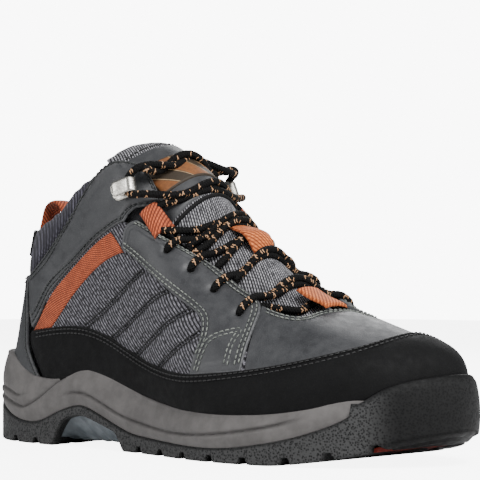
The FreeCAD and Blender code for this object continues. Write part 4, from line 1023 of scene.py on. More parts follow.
for side, mirror in SIDES:
    # Side mesh with its ribbed textile.
    mesh_panel = Panel([(2.46, FOOT), (3.3, FOOT), (4.2, FOOT), (5.1, FOOT), (5.90, FOOT)], MESH_HIGH,
                       [(2.46, FOOT), (2.42, .30), (2.5, .595)],
                       [(5.90, FOOT), (5.92, .25), (5.98, .62)], mirror)
    quilting = [[(4.31, .636), (3.08, .385)], [(4.77, .632), (3.52, .355)], [(5.19, .628), (3.97, .318)],
                [(5.28, .540), (4.44, .300)]]
    rows = []
    for a, b in quilting:
        share = np.linspace(0, 1, 160)
        flat = np.array(a) * (1 - share[:, None]) + np.array(b) * share[:, None]
        if mirror:
            flat[:, 0] = RIB_COUNT - flat[:, 0]
        rows.append((on_form(flat[:, 0], flat[:, 1], -0.25), form_normal(flat[:, 0], flat[:, 1])))

    def quilted(points, rim, rows=rows):
        gap = np.full(rim.shape, 1e3)
        for path, _ in rows:
            for k in range(0, len(path), 2):
                gap = np.minimum(gap, np.linalg.norm(points - path[k], axis=-1))
        return 0.75 * smooth(gap / 7) - 0.45 * np.exp(-(gap / 1.6) ** 2)

    sheet_piece("side_mesh_textile_" + side, mesh_panel, SIDE_MESH, -2.1, -0.55, relief=quilted,
                replaces=["side_mesh_" + side], slot="grey_mesh")
    for path, normals in rows:
        for shift in (-1.0, 1.0):
            across = unit(np.cross(np.gradient(path, axis=0), normals))
            stitch_row(black_stitches, path + across * shift, normals, pitch=2.4, length=2.1, radius=0.36)

    # Orange webbing stripe, then the ankle panel over its upper edge.
    stripe = Panel(STRIPE_LOW, STRIPE_HIGH, mirror=mirror)
    sheet_piece("stripe_webbing_" + side, stripe, ORANGE, -0.4, 0.75, step=1.2,
                replaces=["accent_stripe_" + side], slot="orange_webbing")
    ankle = Panel(ANKLE_LOW, ANKLE_HIGH, ANKLE_START, ANKLE_END, mirror)
    sheet_piece("ankle_leather_" + side, ankle, GREY_LEATHER, 0.0, 1.5, relief=channelled(*SEAM_ROWS),
                replaces=["ankle_panel_" + side], slot="grey_leather")
    for edge, first, last in (("low", 0.02, 0.98), ("high", 0.02, 0.97), ("end", 0.03, 0.97)):
        panel_stitches(dark_stitches, ankle, edge, SEAM_ROWS, 1.5, first, last)

    # Eyestay with its row of punched holes.
    eyestay = Panel(EYESTAY_LOW, EYESTAY_HIGH, EYESTAY_REAR, EYESTAY_FOOT, mirror)
    holes = [(RIB_COUNT - a if mirror else a, b) for a, b in LACE_HOLES]
    hole_points = np.array([form(a, b) for a, b in holes])

    def punched(points, rim, hole_points=hole_points):
        gap = np.min([np.linalg.norm(points - h, axis=-1) for h in hole_points], axis=0)
        pit = smooth((2.7 - gap) / 1.0)
        return channelled(*SEAM_ROWS)(points, rim) - 0.55 * np.exp(-((gap - 2.6) / 1.4) ** 2) - 1.1 * pit

    sheet_piece("eyestay_leather_" + side, eyestay, GREY_LEATHER, OVERLAY_IN, 1.0, step=1.1, relief=punched,
                replaces=["eyestay_" + side], slot="grey_leather")
    panel_stitches(grey_stitches, eyestay, "low", SEAM_ROWS, 1.0, 0.02, 0.93)
    panel_stitches(grey_stitches, eyestay, "high", SEAM_ROWS, 1.0, 0.02, 0.99)

    # The inverted U of double stitching in front of the mesh.
    bow = [(5.24, .351), (5.34, .456), (5.47, .531), (5.70, .586), (5.88, .615), (5.83, .577), (5.74, .502),
           (5.69, .402)]
    share = np.linspace(0, 1, 240)
    flat = through([(RIB_COUNT - a if mirror else a, b) for a, b in bow], share)
    path, normals = on_form(flat[:, 0], flat[:, 1], 1.1), form_normal(flat[:, 0], flat[:, 1])
    for shift in (-1.1, 1.1):
        across = unit(np.cross(np.gradient(path, axis=0), normals))
        stitch_row(grey_stitches, path + across * shift, normals)

    # Lace loop of webbing.
    loop = Panel(LACE_LOOP[0], LACE_LOOP[1], mirror=mirror)
    sheet_piece("lace_loop_webbing_" + side, loop, ORANGE, 1.2, 2.6, step=1.0,
                relief=lambda points, rim: 0.8 * smooth(rim / 4), replaces=["lace_loop_" + side],
                slot="orange_webbing")

grey_stitches.piece("grey_stitching", GREY_THREAD, slot="grey_leather")
dark_stitches.piece("dark_stitching", DARK_THREAD, slot="grey_leather")
black_stitches.piece("black_stitching", BLACK_THREAD, slot="black_leather")

# ---------------------------------------------------------------- soft pieces
CLOTH_CELL = 4.0
CLOTH_PRESSURE = 4.0
CLOTH_FRAMES = 20
COLLAR_REACH = 1.6
TONGUE_REACH = 1.2


def puffed(piece, reach):
    """Blows a closed padded piece up with a cloth simulation, by at most reach mm at any point."""
    scene = bpy.context.scene
    bpy.context.view_layer.objects.active = piece
    remesh = piece.modifiers.new("remesh", "REMESH")
    remesh.mode = "VOXEL"
    remesh.voxel_size = CLOTH_CELL * MM
    bpy.ops.object.modifier_apply(modifier=remesh.name)
    count = len(piece.data.vertices)
    rest = np.empty(count * 3)
    piece.data.vertices.foreach_get("co", rest)
    cloth = piece.modifiers.new("cloth", "CLOTH")
    cloth.settings.quality = 6
    cloth.settings.mass = 0.3
    cloth.settings.use_pressure = True
    cloth.settings.uniform_pressure_force = CLOTH_PRESSURE
    cloth.settings.tension_stiffness = 14
    cloth.settings.compression_stiffness = 14
    cloth.settings.bending_stiffness = 0.5
    cloth.settings.effector_weights.gravity = 0
    cloth.point_cache.frame_end = CLOTH_FRAMES
    for frame_number in range(1, CLOTH_FRAMES + 1):
        scene.frame_set(frame_number)
    blown = piece.evaluated_get(bpy.context.evaluated_depsgraph_get())
    moved = np.empty(count * 3)
    blown.data.vertices.foreach_get("co", moved)
    scene.frame_set(1)
    piece.modifiers.remove(cloth)
    rest, moved = rest.reshape(-1, 3), moved.reshape(-1, 3)
    step = moved - rest
    length = np.linalg.norm(step, axis=1, keepdims=True)
    step = step * np.minimum(1, reach * MM / np.maximum(length, 1e-9))
    piece.data.vertices.foreach_set("co", (rest + step).ravel())
    smoother = piece.modifiers.new("round", "SUBSURF")
    smoother.levels = smoother.render_levels = 1
    bpy.ops.object.modifier_apply(modifier=smoother.name)
    piece.data.shade_smooth()


def tree_of(piece):
    return BVHTree.FromPolygons([v.co[:] for v in piece.data.vertices],
                                [tuple(p.vertices) for p in piece.data.polygons])


def ribs_along(name, tree, starts, normals, material, radius, body, **options):
    """A thin cord laid on a soft surface."""
    path = []
    for point, normal in zip(starts, normals):
        hit = tree.ray_cast(Vector((point + normal * 14) * MM), Vector(-normal), 0.03)
        path.append(np.array(hit[0]) / MM if hit[0] is not None else point)
    path = smooth_path(np.array(path), 3)
    bundle = Bundle()
    bundle.add(*tube(path + normals * radius * 0.3, radius, 10))
    bundle.piece(name, material, body=body, **options)


def smooth_path(path, rounds):
    path = path.copy()
    for _ in range(rounds):
        path[1:-1] = path[1:-1] * 0.5 + (path[:-2] + path[2:]) * 0.25
    return path


# Collar: a padded roll round the ankle, thin where it runs under the leather.
COLLAR_FRONT = 4.02


def collar_seam(around):
    spread = np.clip(np.abs(around) / COLLAR_FRONT, 0, 1)
    return 0.655 + 0.265 * np.clip((spread - 0.42) / 0.58, 0, None) ** 0.75


collar_around = np.linspace(-COLLAR_FRONT, COLLAR_FRONT, 150)[:, None]
collar_share = np.linspace(0, 1, 18)[None, :]
low_rise = collar_seam(collar_around)
rim_rise = 1 - 0.055 * smooth((np.abs(collar_around) - 3.0) / 0.8)
rise = low_rise + (rim_rise - low_rise) * collar_share
taper = smooth((COLLAR_FRONT - np.abs(collar_around)) / 0.55)
full = np.sin(math.pi * np.clip(0.04 + 0.9 * collar_share, 0, 1)) ** 0.55 * (0.35 + 0.65 * taper)
collar_out = on_form(collar_around + 0 * rise, rise, -1.4 + 1.9 * full)
collar_in = on_form(collar_around + 0 * rise, rise, -2.4 - 5.6 * full)
collar = solid_sheet("collar_padding_knit", collar_out, collar_in, COLLAR_KNIT,
                     replaces=["collar_padding"], slot="collar_knit")
puffed(collar, COLLAR_REACH)

# Tongue: one padded piece that follows the ridge over the instep.
TONGUE_RIDGE = [(97, 63.5), (83, 70.5), (69, 77.5), (56, 87), (44, 97), (30, 107), (16, 119), (4, 132),
                (-8, 144), (-21, 153), (-34, 160.6), (-48, 164.5)]
TONGUE_HALF = [(0, 25), (.15, 25), (.35, 25), (.6, 26.5), (.85, 28.5), (1, 26.5)]
TONGUE_CROWN = [(0, .020), (.3, .029), (.6, .028), (.85, .019), (1, .0125)]
TONGUE_SWEEP = [(0, .45), (.6, .45), (.85, 1.0), (1, 1.7)]
TONGUE_INWARD = [(0, 4.5), (.25, 3), (.4, 0), (1, 0)]
ridge_line = np.array(TONGUE_RIDGE, float) * SCALE[[0, 2]]


def tongue_point(share, side):
    share, side = np.broadcast_arrays(np.asarray(share, float), np.asarray(side, float))
    ridge = spline(ridge_line, np.clip(share, 0, 1.02) * (len(ridge_line) - 1))
    y = side * np.interp(share, *zip(*TONGUE_HALF)) * SCALE[1]
    drop = np.interp(share, *zip(*TONGUE_CROWN)) * y * y
    back = np.interp(share, *zip(*TONGUE_SWEEP)) * drop
    inward = np.interp(share, *zip(*TONGUE_INWARD))
    return np.stack([ridge[..., 0] - back, y + inward, ridge[..., 1] - drop], -1)


def tongue_normal(share, side):
    step = 0.01
    along = tongue_point(np.minimum(share + step, 1.0), side) - tongue_point(share - step, side)
    across = tongue_point(share, np.asarray(side) + step) - tongue_point(share, np.asarray(side) - step)
    normal = np.cross(across, along)
    return unit(normal * np.where(normal[..., 2:] < 0, -1, 1))


def on_tongue(share, side, offset=0.0):
    share, side = np.broadcast_arrays(np.asarray(share, float), np.asarray(side, float))
    return tongue_point(share, side) + tongue_normal(share, side) * np.asarray(offset)[..., None]


tongue_share = np.linspace(0, 1, 70)[:, None]
tongue_side = np.linspace(-1, 1, 30)[None, :]
round_off = np.sqrt(np.clip(1 - np.clip((np.abs(tongue_side) - 0.82) / 0.18, 0, 1) ** 2, 0, 1))
top_off = np.sqrt(np.clip(1 - np.clip((tongue_share - 0.955) / 0.045, 0, 1) ** 2, 0, 1))
fill = (0.9 + 0.1 * smooth(tongue_share / 0.25)) * (0.5 + 0.5 * round_off * top_off)
corner = 1 - 0.03 * smooth((np.abs(tongue_side) - 0.5) / 0.5) * smooth((tongue_share - 0.8) / 0.2)
tongue_out = on_tongue(tongue_share * corner, tongue_side, -3.0 + 2.6 * fill)
tongue_in = on_tongue(tongue_share * corner, tongue_side, -3.0 - 3.6 * fill)
tongue = solid_sheet("tongue_padded", tongue_out, tongue_in, TONGUE_MESH, body="tongue_body",
                     replaces=["tongue", "tongue_top_trim"], slot="tongue_mesh")
puffed(tongue, TONGUE_REACH)
tongue_tree = tree_of(tongue)


def tongue_lift(share, side, offset):
    """Points that lie on the padded tongue, offset along its normal."""
    share, side = np.broadcast_arrays(np.asarray(share, float), np.asarray(side, float))
    base, normal = tongue_point(share, side), tongue_normal(share, side)
    flat, up = base.reshape(-1, 3), normal.reshape(-1, 3)
    out = flat.copy()
    for i in range(len(flat)):
        hit = tongue_tree.ray_cast(Vector((flat[i] + up[i] * 12) * MM), Vector(-up[i]), 0.03)
        if hit[0] is not None:
            out[i] = np.array(hit[0]) / MM
    return out.reshape(base.shape) + normal * np.asarray(offset)[..., None]


PATCH_ROWS, PATCH_COLUMNS = 34, 44
# Rough size of the tongue, in mm, for the grain of the sheets sewn on it.
TONGUE_HALF_MM, TONGUE_LENGTH_MM = 28, 170


def tongue_patch(name, shares, half, inner, outer, material, replaces=(), slot=None, bow=0.0,
                 hump=0.0):
    """A sheet sewn on the tongue. half is its half-width as a share of the tongue's."""
    s = np.linspace(*shares, PATCH_ROWS)[:, None]
    t = np.linspace(-1, 1, PATCH_COLUMNS)[None, :]
    side = half * t + 0 * s
    s = s + bow * (1 - t * t)
    rise = hump * np.sin(math.pi * np.linspace(0, 1, PATCH_ROWS)[:, None]) ** 1.4
    base = tongue_lift(s + 0 * t, side, rise + 0.0 * side)
    normal = tongue_normal(s + 0 * t, side)
    rim = edge_distance(base)
    top = base + normal * (inner + (outer - inner) * (0.1 + 0.9 * rolled(rim, 0.9)))[..., None]
    wide = np.linspace(0, 1, PATCH_COLUMNS)[None, :] * 2 * half * TONGUE_HALF_MM
    long = np.linspace(0, 1, PATCH_ROWS)[:, None] * (shares[1] - shares[0]) * TONGUE_LENGTH_MM
    weave = np.stack([np.broadcast_to(wide, rim.shape), np.broadcast_to(long, rim.shape), rim], -1)
    solid_sheet(name, top, base + normal * inner, material, weave, body="tongue_body",
                replaces=replaces, slot=slot)


def height_over(point):
    """Height of the padded tongue under a point, or None beside it."""
    hit = tongue_tree.ray_cast(Vector((point[0] * MM, point[1] * MM, 0.25)), Vector((0, 0, -1)), 0.3)
    return None if hit[0] is None else hit[0].z / MM


# Leather facing near the tongue's top, with a plain two-tone label on it.
tongue_patch("tongue_facing", (0.645, 0.895), 0.93, -0.6, 0.9, GREY_LEATHER, slot="grey_leather",
             bow=0.006)
tongue_patch("tongue_label", (0.715, 0.835), 0.80, 0.7, 1.7, LABEL, replaces=["tongue_patch"],
             slot="label_leather")
for number, share in enumerate((0.635, 0.545)):
    t = np.linspace(-0.94, 0.94, 60)
    start = tongue_point(share + 0.006 * (1 - t * t), t)
    up = tongue_normal(share + 0.006 * (1 - t * t), t)
    ribs_along("tongue_piping_%d" % number, tongue_tree, start, up, BLACK_LEATHER, 1.1,
               "tongue_body", slot="black_leather")

threads = Bundle()
t = np.linspace(-0.93, 0.93, 120)
arc = tongue_lift(0.915 - 0.03 * t ** 4, t, 0.15 + 0 * t)
stitch_row(threads, smooth_path(arc, 4), tongue_normal(0.915 + 0 * t, t), radius=0.4)
threads.piece("tongue_stitching", BLACK_THREAD, body="tongue_body", slot="tongue_mesh")

# ---------------------------------------------------------------- keeper and throat tab
tongue_patch("tongue_keeper_webbing", (0.405, 0.525), 0.27, 0.2, 1.5, LIGHT_ORANGE,
             replaces=["tongue_keeper"], slot="orange_webbing", hump=5.2)
TAB_RIDGE = [(66, 84.6), (70, 82.4), (76, 79.8), (82, 77.8), (86, 75.8)]
tab_line = through(np.array(TAB_RIDGE), np.linspace(0, 1, 26))
tab_side = np.linspace(-8, 8, 24)
tab_low = np.stack([tab_line[:, None, 0] + 0 * tab_side[None], tab_side[None] + 0 * tab_line[:, None, 0],
                    tab_line[:, None, 1] - 0.018 * tab_side[None] ** 2], -1)
tab_rim = edge_distance(tab_low)
tab_high = tab_low + np.array([0.5, 0, 1.2]) * (0.2 + 0.8 * smooth(tab_rim / 0.8))[..., None]
solid_sheet("throat_tab_webbing", tab_high, tab_low, LIGHT_ORANGE,
            np.stack([tab_low[..., 1], tab_low[..., 0], tab_rim], -1),
            replaces=["throat_tab"], slot="orange_webbing")

# ---------------------------------------------------------------- laces
LACE_RADIUS = 1.9


def lace_relief(run, turn):
    """Braided surface: crossing ridges round the cord."""
    return (1 + 0.05 * np.maximum(np.sin(2 * math.pi * run / 2.8 + turn * 2),
                                  np.sin(2 * math.pi * run / 2.8 - turn * 2)))


def side_place(around, rise, medial, offset):
    around = RIB_COUNT - around if medial else around
    return on_form(around, rise, offset)


def above_tongue(x, y, lift):
    """A point over the tongue at a place in plan."""
    ridge = float(np.interp(x, ridge_line[::-1, 0], ridge_line[::-1, 1])) - TONGUE_CROWN[0][1] * y * y
    return np.array([x, y, max(height_over((x, y)) or 0, ridge - 3) + lift])


def raised(path, lift_of, reach=26):
    """Lifts a path where it would sink into the tongue."""
    out = path.copy()
    for i, point in enumerate(path):
        top = height_over(point)
        if top is not None and abs(point[1]) < reach:
            out[i, 2] = max(point[2], top + LACE_RADIUS + lift_of(i / (len(path) - 1)))
    return out


def lace_path(start, end, crest_lift, slack=0.0):
    """Smooth strand from its first points, over the tongue, to its last points.

    The slack is how far its middle slides forward down the instep."""
    a, b = np.array(start[-1]), np.array(end[0])
    share = np.linspace(0, 1, 60)
    level = a * (1 - share[:, None]) + b * share[:, None]
    level[:, 0] += slack * np.sin(math.pi * share)
    span = raised(level,
                  lambda s: 0.2 + crest_lift * math.sin(math.pi * s) ** 1.5)
    span = smooth_path(span, 40)
    rough = np.concatenate([np.array(start[:-1]), span, np.array(end[1:])])
    return smooth_path(resample(rough, 0.7), 14)


# ---------------------------------------------------------------- speed hooks
HOOK_PLACE = (4.06, .862)
HOOK_HEADING = np.array([0.95, 0, 0.31])


def hook_axes(medial):
    around, rise = (RIB_COUNT - HOOK_PLACE[0] if medial else HOOK_PLACE[0]), HOOK_PLACE[1]
    origin, normal = on_form(around, rise, 1.9), form_normal(around, rise)
    upward = unit(HOOK_HEADING - normal * HOOK_HEADING.dot(normal))
    return origin, upward, np.cross(normal, upward), normal


def hook_profile():
    """Side line of the hook: (along, off the leather), from its foot to the end of its tab."""
    bend_radius = 2.9
    line = [(-2.5, 0.35), (-1.5, 0.0), (0, 0), (3, 0), (6, 0), (9, 0), (11, 0)]
    for angle in np.linspace(-80, 80, 13):
        line.append((11 + bend_radius * math.cos(math.radians(angle)),
                     bend_radius + bend_radius * math.sin(math.radians(angle))))
    line += [(11, 5.8), (8, 5.75), (5, 5.6), (2.5, 5.7), (1.2, 6.3)]
    return np.array(line)


def hook_piece(side, medial):
    origin, upward, sideways, normal = hook_axes(medial)
    line = through(hook_profile(), np.linspace(0, 1, 70))
    line[:, 0] -= 1.0
    across = np.linspace(-1, 1, 15)
    heading = unit(np.gradient(line, axis=0))
    off = np.stack([-heading[:, 1], heading[:, 0]], -1)
    share = np.linspace(0, 1, 70)
    foot = np.sqrt(np.clip(1 - np.clip((0.13 - share) / 0.13, 0, 1) ** 2, 0.15, 1))
    tip = np.sqrt(np.clip(1 - np.clip((share - 0.93) / 0.07, 0, 1) ** 2, 0.25, 1))
    width = 4.6 * foot * tip * np.where(share < 0.5, 1, 0.92)
    edge = np.sqrt(np.clip(1 - np.abs(across) ** 8, 0, 1))
    thick = 0.55 * edge
    layers = []
    for sign in (1, -1):
        flat = line[:, None, :] + off[:, None, :] * (sign * thick)[None, :, None]
        layers.append(origin + flat[..., :1] * upward + flat[..., 1:] * normal
                      + (width[:, None] * across[None, :])[..., None] * sideways)
    solid_sheet("speed_hook_plate_" + side, *layers, METAL, replaces=["speed_hook_" + side],
                slot="hook_metal")
    bundle_at = origin + upward * 2.6 + normal * 0.5
    return bundle_at, upward, sideways, normal


def dome(centre, upward, sideways, normal, radius, height):
    """Rivet head with a small rim."""
    profile = [(0, height), (0.45, height * 0.96), (0.8, height * 0.72), (0.97, height * 0.35), (1.0, 0.1),
               (1.0, 0.0), (0.5, -0.6)]
    turn = np.linspace(0, 2 * math.pi, 28, endpoint=False)
    rings = []
    for share, rise in profile:
        ring = (np.cos(turn)[:, None] * upward + np.sin(turn)[:, None] * sideways) * radius * max(share, 0.02)
        rings.append(centre + ring + normal * rise)
    rings = np.array(rings)
    return rings.reshape(-1, 3), grid_faces(len(profile), 28, wrap=True)


rivets = Bundle()
for side, medial in SIDES:
    place = hook_piece(side, medial)
    rivets.add(*dome(place[0], *place[1:], 2.7, 1.1))
rivets.piece("hook_rivet_domes", METAL, replaces=["hook_rivets"], slot="hook_metal")

# ---------------------------------------------------------------- lace strands
# Each row: the hole the strand goes into, the throat edge it passes over, and the
# place where it comes out from under the other side's edge; then its slack.
LACE_ROWS = [((4.78, .800), (4.99, .925), (5.22, .955), 9), ((5.15, .815), (5.36, .975), (5.60, .985), 6),
             ((5.52, .790), (5.81, .935), (5.93, .965), 2), ((5.90, .715), (6.22, .850), (6.22, .86), 0)]
laces = Bundle()
for hole, edge, under, slack in LACE_ROWS:
    for medial in (False, True):
        start = [side_place(*hole, medial, -3.5), side_place(*hole, medial, 1.6),
                 side_place(hole[0] * 0.6 + edge[0] * 0.4, hole[1] * 0.6 + edge[1] * 0.4, medial, 2.9),
                 side_place(*edge, medial, 2.7)]
        end = [side_place(*under, not medial, 0.8), side_place(*under, not medial, -3.5)]
        laces.add(*tube(lace_path(start, end, 3.6 if medial else 0.0, slack), LACE_RADIUS, 14, lace_relief))


def hook_point(medial, along, down, off):
    """A point by a hook: along its plate, down from its middle line, off the leather."""
    origin, upward, sideways, normal = hook_axes(medial)
    down_way = sideways if medial else -sideways
    return origin + upward * along + down_way * down + normal * off


HOOK_IN = [(17.0, 6.8, 3.6), (13.0, 6.4, 3.4), (9.6, 5.0, 3.1), (8.2, 2.5, 3.0), (7.9, 0, 3.0)]
HOOK_OUT = [(8.2, -2.5, 3.0), (9.6, -5.0, 3.1), (13.0, -6.4, 3.6), (17.0, -7.2, 4.6)]
# The two top strands twist round each other from hook to hook.
share = np.linspace(0, 1, 90)
heads = [hook_point(medial, 19, -7.0, 4.6) for medial in (False, True)]
middle = raised(heads[0] * (1 - share[:, None]) + heads[1] * share[:, None], lambda s: 1.8)
middle = resample(smooth_path(middle, 60), 1.0)
_, first, second = tube_frame(middle)
phase = np.linspace(0, 1, len(middle))[:, None] * 3.5 * math.pi
helix = (first * np.cos(phase) + second * np.sin(phase)) * LACE_RADIUS
for medial in (False, True):
    # From the loop on one side, under the other side's edge by the first hole.
    start = [side_place(4.60, .86, medial, 0.2), side_place(4.72, .87, medial, 1.2),
             side_place(4.97, .98, medial, 1.9)]
    end = [side_place(5.12, .97, not medial, 1.0), side_place(5.16, .95, not medial, -3.5)]
    laces.add(*tube(lace_path(start, end, 4.0 if medial else 0.2, 12), LACE_RADIUS, 14, lace_relief))
    # From the loop's upper end across to the far hook, round its neck and back over the tongue.
    start = [side_place(4.62, .93, medial, 0.4), side_place(4.70, 1.0, medial, 1.4),
             side_place(4.77, 1.04, medial, 2.6)]
    wrap = [hook_point(not medial, *place) for place in HOOK_IN + HOOK_OUT]
    across = lace_path(start, wrap[:2], 4.0 if medial else 0.2, 14)
    twist = middle + helix * (-1 if medial else 1)
    twist = twist[::-1] if not medial else twist
    tail = [hook_point(medial, 16, -9, 0.5), hook_point(medial, 13, -10, -3.0)]
    whole = np.concatenate([across[:-1], np.array(wrap[2:]), twist[3:-3], np.array(tail)])
    laces.add(*tube(smooth_path(resample(whole, 0.7), 14), LACE_RADIUS, 14, lace_relief))
# The lowest bar runs under the webbing tab at the front of the throat.
bar_ends = [side_place(6.20, .84, medial, -3.2) for medial in (False, True)]
bar_over = [above_tongue(72, y, LACE_RADIUS + 0.1) for y in (-10, -5, 0, 5, 10)]
low_bar = [bar_ends[0]] + bar_over + [bar_ends[1]]
low_bar = smooth_path(resample(np.array(low_bar), 0.7), 20)
laces.add(*tube(low_bar, LACE_RADIUS, 14, lace_relief))
laces.piece("lace_crossings", CORD, replaces=["laces"], slot="lace_cord")

# ---------------------------------------------------------------- heel pull loop
PULL_FOOT = np.array([-135.3, 0, 104]) * np.array([SCALE[0], 1, SCALE[2]])
LOOP_LEAN = math.radians(12)


def pull_loop_piece():
    line = [(-0.6, -1.5), (-0.5, 0), (-0.4, 8), (0.2, 16), (0.6, 22)]
    for angle in np.linspace(165, 15, 12):
        line.append((9.2 + 8.6 * math.cos(math.radians(angle)), 23 + 8.6 * math.sin(math.radians(angle))))
    line += [(17.6, 22), (17.4, 16), (16.8, 11)]
    line = through(np.array(line), np.linspace(0, 1, 130))
    heading = unit(np.gradient(line, axis=0))
    off = np.stack([-heading[:, 1], heading[:, 0]], -1)
    across = np.linspace(-1, 1, 17)
    edge = np.sqrt(np.clip(1 - np.abs(across) ** 6, 0, 1))
    run = run_along(line)
    half = 6.5 + 0.25 * np.sin(run / 7)
    lean = np.array([[math.cos(LOOP_LEAN), math.sin(LOOP_LEAN)], [-math.sin(LOOP_LEAN), math.cos(LOOP_LEAN)]])
    layers = []
    for sign in (1, -1):
        push = sign * 0.9 * edge - 0.5 * np.abs(across) ** 3
        flat = line[:, None, :] + off[:, None, :] * push[None, :, None]
        flat = flat @ lean.T
        y = half[:, None] * across[None, :] + 0 * flat[..., 0]
        layers.append(np.stack([flat[..., 0] + PULL_FOOT[0], y, flat[..., 1] + PULL_FOOT[2]], -1))
    rim = np.broadcast_to((1 - np.abs(across))[None, :] * 6.5, (len(run), 17))
    weave = np.stack([np.broadcast_to(run[:, None], rim.shape), rim, rim], -1)
    solid_sheet("pull_loop_webbing", *layers, ORANGE, weave, body="pull_loop_body",
                replaces=["pull_loop"], slot="orange_webbing")


pull_loop_piece()

# ---------------------------------------------------------------- inside of the boot
LINING_HIGH = [(0.03, .70), (1.0, .70), (1.9, .72), (2.9, .84), (3.6, .92), (4.3, .955), (5.0, .955),
               (5.6, .955), (6.2, .86), (6.8, .80), (7.6, .86), (8.97, .92)]
for side, mirror in SIDES:
    lining = Panel([(0.03 + i * 8.94 / 11, FOOT) for i in range(12)], LINING_HIGH, mirror=mirror)

    def padded(points, rim):
        return 0.25 * np.sin(points[..., 0] / 5.0) * np.sin(points[..., 2] / 6.0)

    sheet_piece("lining_cloth_" + side, lining, LINING, -5.2, -3.9, step=3.0, relief=padded,
                replaces=["lining_" + side], slot="lining_textile")

# Footbed with a cupped heel; it lifts out on its own joint.
FOOTBED_INSET, FOOTBED_LIFT, FOOTBED_THICK = 10.6, 2.4, 5.0
at, normal, run = plan_loop(4.0)
normal, spine = outward(at, normal)
rings_top, rings_low = [], []
for share in np.concatenate([[0, 0.015, 0.04, 0.08], np.linspace(0.14, 1, 14)]):
    start = at - normal * (FOOTBED_INSET + 3.5 * smooth((-at[:, :1] - 85) / 40))
    flat = start * (1 - share) + spine * share
    base = read_line(SEAT, flat[:, 0]) + FOOTBED_LIFT
    edge = math.sqrt(max(0.0, 1 - (1 - min(share / 0.08, 1)) ** 2))
    cup = 2.4 * math.exp(-share / 0.25) * (0.35 + 0.65 * smooth((-flat[:, 0] - 60) / 50))
    crown = base + 0.3 + (FOOTBED_THICK - 0.6) * (0.25 + 0.75 * edge) + cup * edge
    rings_top.append(np.column_stack([flat, crown]))
    rings_low.append(np.column_stack([flat, base + 0.1]))
rings = np.array(rings_low[::-1] + rings_top)
add_mesh("footbed_cushion", rings.reshape(-1, 3), grid_faces(len(rings), len(at), wrap=True), FOOTBED,
         body="footbed_body", replaces=["footbed"], slot="footbed_foam")

# Gussets: thin cloth that joins each edge of the tongue to the throat.
for side, mirror in SIDES:
    sign = 1 if mirror else -1
    share = np.linspace(0.22, 0.70, 46)
    ridge = tongue_point(share, 0)
    around = np.interp(ridge[:, 0], [-5, 8, 24, 38, 52, 66], [4.7, 5.0, 5.3, 5.6, 5.9, 6.15])
    upper = np.array([side_place(a, 0.90 - 0.1 * smooth((a - 5.8) / 0.4), mirror, -3.2) for a in around])
    inner = on_tongue(share, sign * 0.9, -4.4)
    rows = []
    for t in np.linspace(0, 1, 14):
        sag = np.array([0, 0, -3.0]) * math.sin(math.pi * t)
        rows.append(upper * (1 - t) + inner * t + sag)
    sheet = np.array(rows)
    gusset = solid_sheet("gusset_" + side, sheet, sheet - np.array([0, 0, 0.8]), LINING, body=None,
                         slot="lining_textile")
    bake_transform(gusset)

# Heel tab: a black leather patch over the collar, under the pull loop.
tab_panel = Panel([(-1.25, .80), (-0.6, .79), (0, .787), (0.6, .79), (1.25, .80)],
                  [(-1.1, .985), (-0.5, .99), (0, .99), (0.5, .99), (1.1, .985)])
sheet_piece("heel_tab_leather", tab_panel, BLACK_LEATHER, -0.2, 1.9, relief=channelled(1.7),
            slot="black_leather")

# ---------------------------------------------------------------- camera, light and floor
FLOOR_REACH = 3
FLOOR_GLOW, SKY_STRENGTH, BACKDROP_STRENGTH = 6.0, 0.32, 9.0
floor_mesh = bpy.data.meshes.new("floor")
corners = [(x * FLOOR_REACH, y * FLOOR_REACH, 0) for x, y in ((-1, -1), (1, -1), (1, 1), (-1, 1))]
floor_mesh.from_pydata(corners, [], [(0, 1, 2, 3)])
floor = bpy.data.objects.new("floor", floor_mesh)
bpy.context.scene.collection.objects.link(floor)
FLOOR_SHADE = Shader("floor_paper", roughness=0.9)
FLOOR_SHADE.color((0.9, 0.9, 0.9, 1))
floor_seen = FLOOR_SHADE.node("ShaderNodeLightPath", {}, "Is Camera Ray")
FLOOR_SHADE.put(FLOOR_SHADE.bsdf, "Emission Color", (1, 1, 1, 1))
FLOOR_SHADE.put(FLOOR_SHADE.bsdf, "Emission Strength", FLOOR_SHADE.times(floor_seen, FLOOR_GLOW))
floor_mesh.materials.append(FLOOR_SHADE.material)

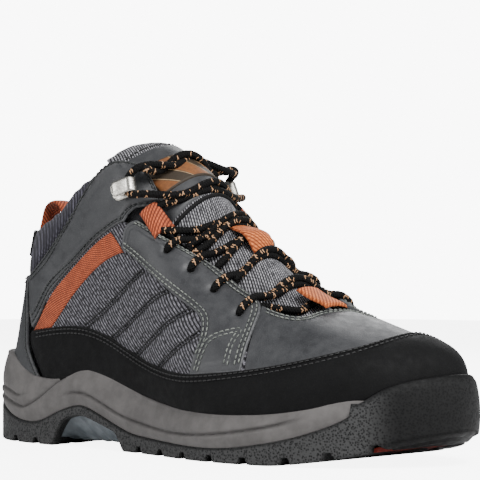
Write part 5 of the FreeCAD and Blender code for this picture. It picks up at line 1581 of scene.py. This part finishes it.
world = bpy.data.worlds.new("studio")
bpy.context.scene.world = world
world.use_nodes = True
world_tree = world.node_tree
soft, backdrop = world_tree.nodes["Background"], world_tree.nodes.new("ShaderNodeBackground")
soft.inputs[0].default_value = (0.93, 0.96, 1.0, 1)
soft.inputs[1].default_value = SKY_STRENGTH
backdrop.inputs[0].default_value = (1, 1, 1, 1)
backdrop.inputs[1].default_value = BACKDROP_STRENGTH
seen, blend_node = world_tree.nodes.new("ShaderNodeLightPath"), world_tree.nodes.new("ShaderNodeMixShader")
world_tree.links.new(seen.outputs["Is Camera Ray"], blend_node.inputs[0])
world_tree.links.new(soft.outputs[0], blend_node.inputs[1])
world_tree.links.new(backdrop.outputs[0], blend_node.inputs[2])
world_tree.links.new(blend_node.outputs[0], world_tree.nodes["World Output"].inputs[0])


def area_light(name, place, target, size, power):
    data = bpy.data.lights.new(name, "AREA")
    data.shape = "RECTANGLE"
    data.size = data.size_y = size
    data.energy = power
    lamp = bpy.data.objects.new(name, data)
    lamp.location = place
    lamp.rotation_euler = (Vector(target) - Vector(place)).to_track_quat("-Z", "Y").to_euler()
    bpy.context.scene.collection.objects.link(lamp)


# Each soft light: its name, place, aim, width and power, in metres and watts.
for light in [("key_light", (0.9, -0.35, 1.2), (0, 0, 0.05), 0.7, 34),
              ("toe_light", (1.2, 0.4, 0.6), (0.05, 0, 0.05), 0.6, 10),
              ("side_light", (-0.5, -1.2, 0.5), (0, 0, 0.08), 0.6, 9),
              ("back_light", (-0.6, 1.1, 0.9), (0, 0, 0.08), 0.8, 12)]:
    area_light(*light)

VIEW_AZIMUTH, VIEW_ELEVATION = math.radians(44.63), math.radians(0.94)
CAMERA_PLACE = (0.72834, -0.73778, 0.08697)
CAMERA_LENS, CAMERA_SHIFT = 148.3, (0.0561, 0.158)
camera_data = bpy.data.cameras.new("camera")
camera_data.sensor_width = 36
camera_data.lens = CAMERA_LENS
camera_data.shift_x, camera_data.shift_y = CAMERA_SHIFT
camera = bpy.data.objects.new("camera", camera_data)
camera.location = CAMERA_PLACE
back = Vector((math.sin(VIEW_AZIMUTH) * math.cos(VIEW_ELEVATION),
               -math.cos(VIEW_AZIMUTH) * math.cos(VIEW_ELEVATION), math.sin(VIEW_ELEVATION)))
camera.rotation_euler = back.to_track_quat("Z", "Y").to_euler()
bpy.context.scene.collection.objects.link(camera)
bpy.context.scene.camera = camera
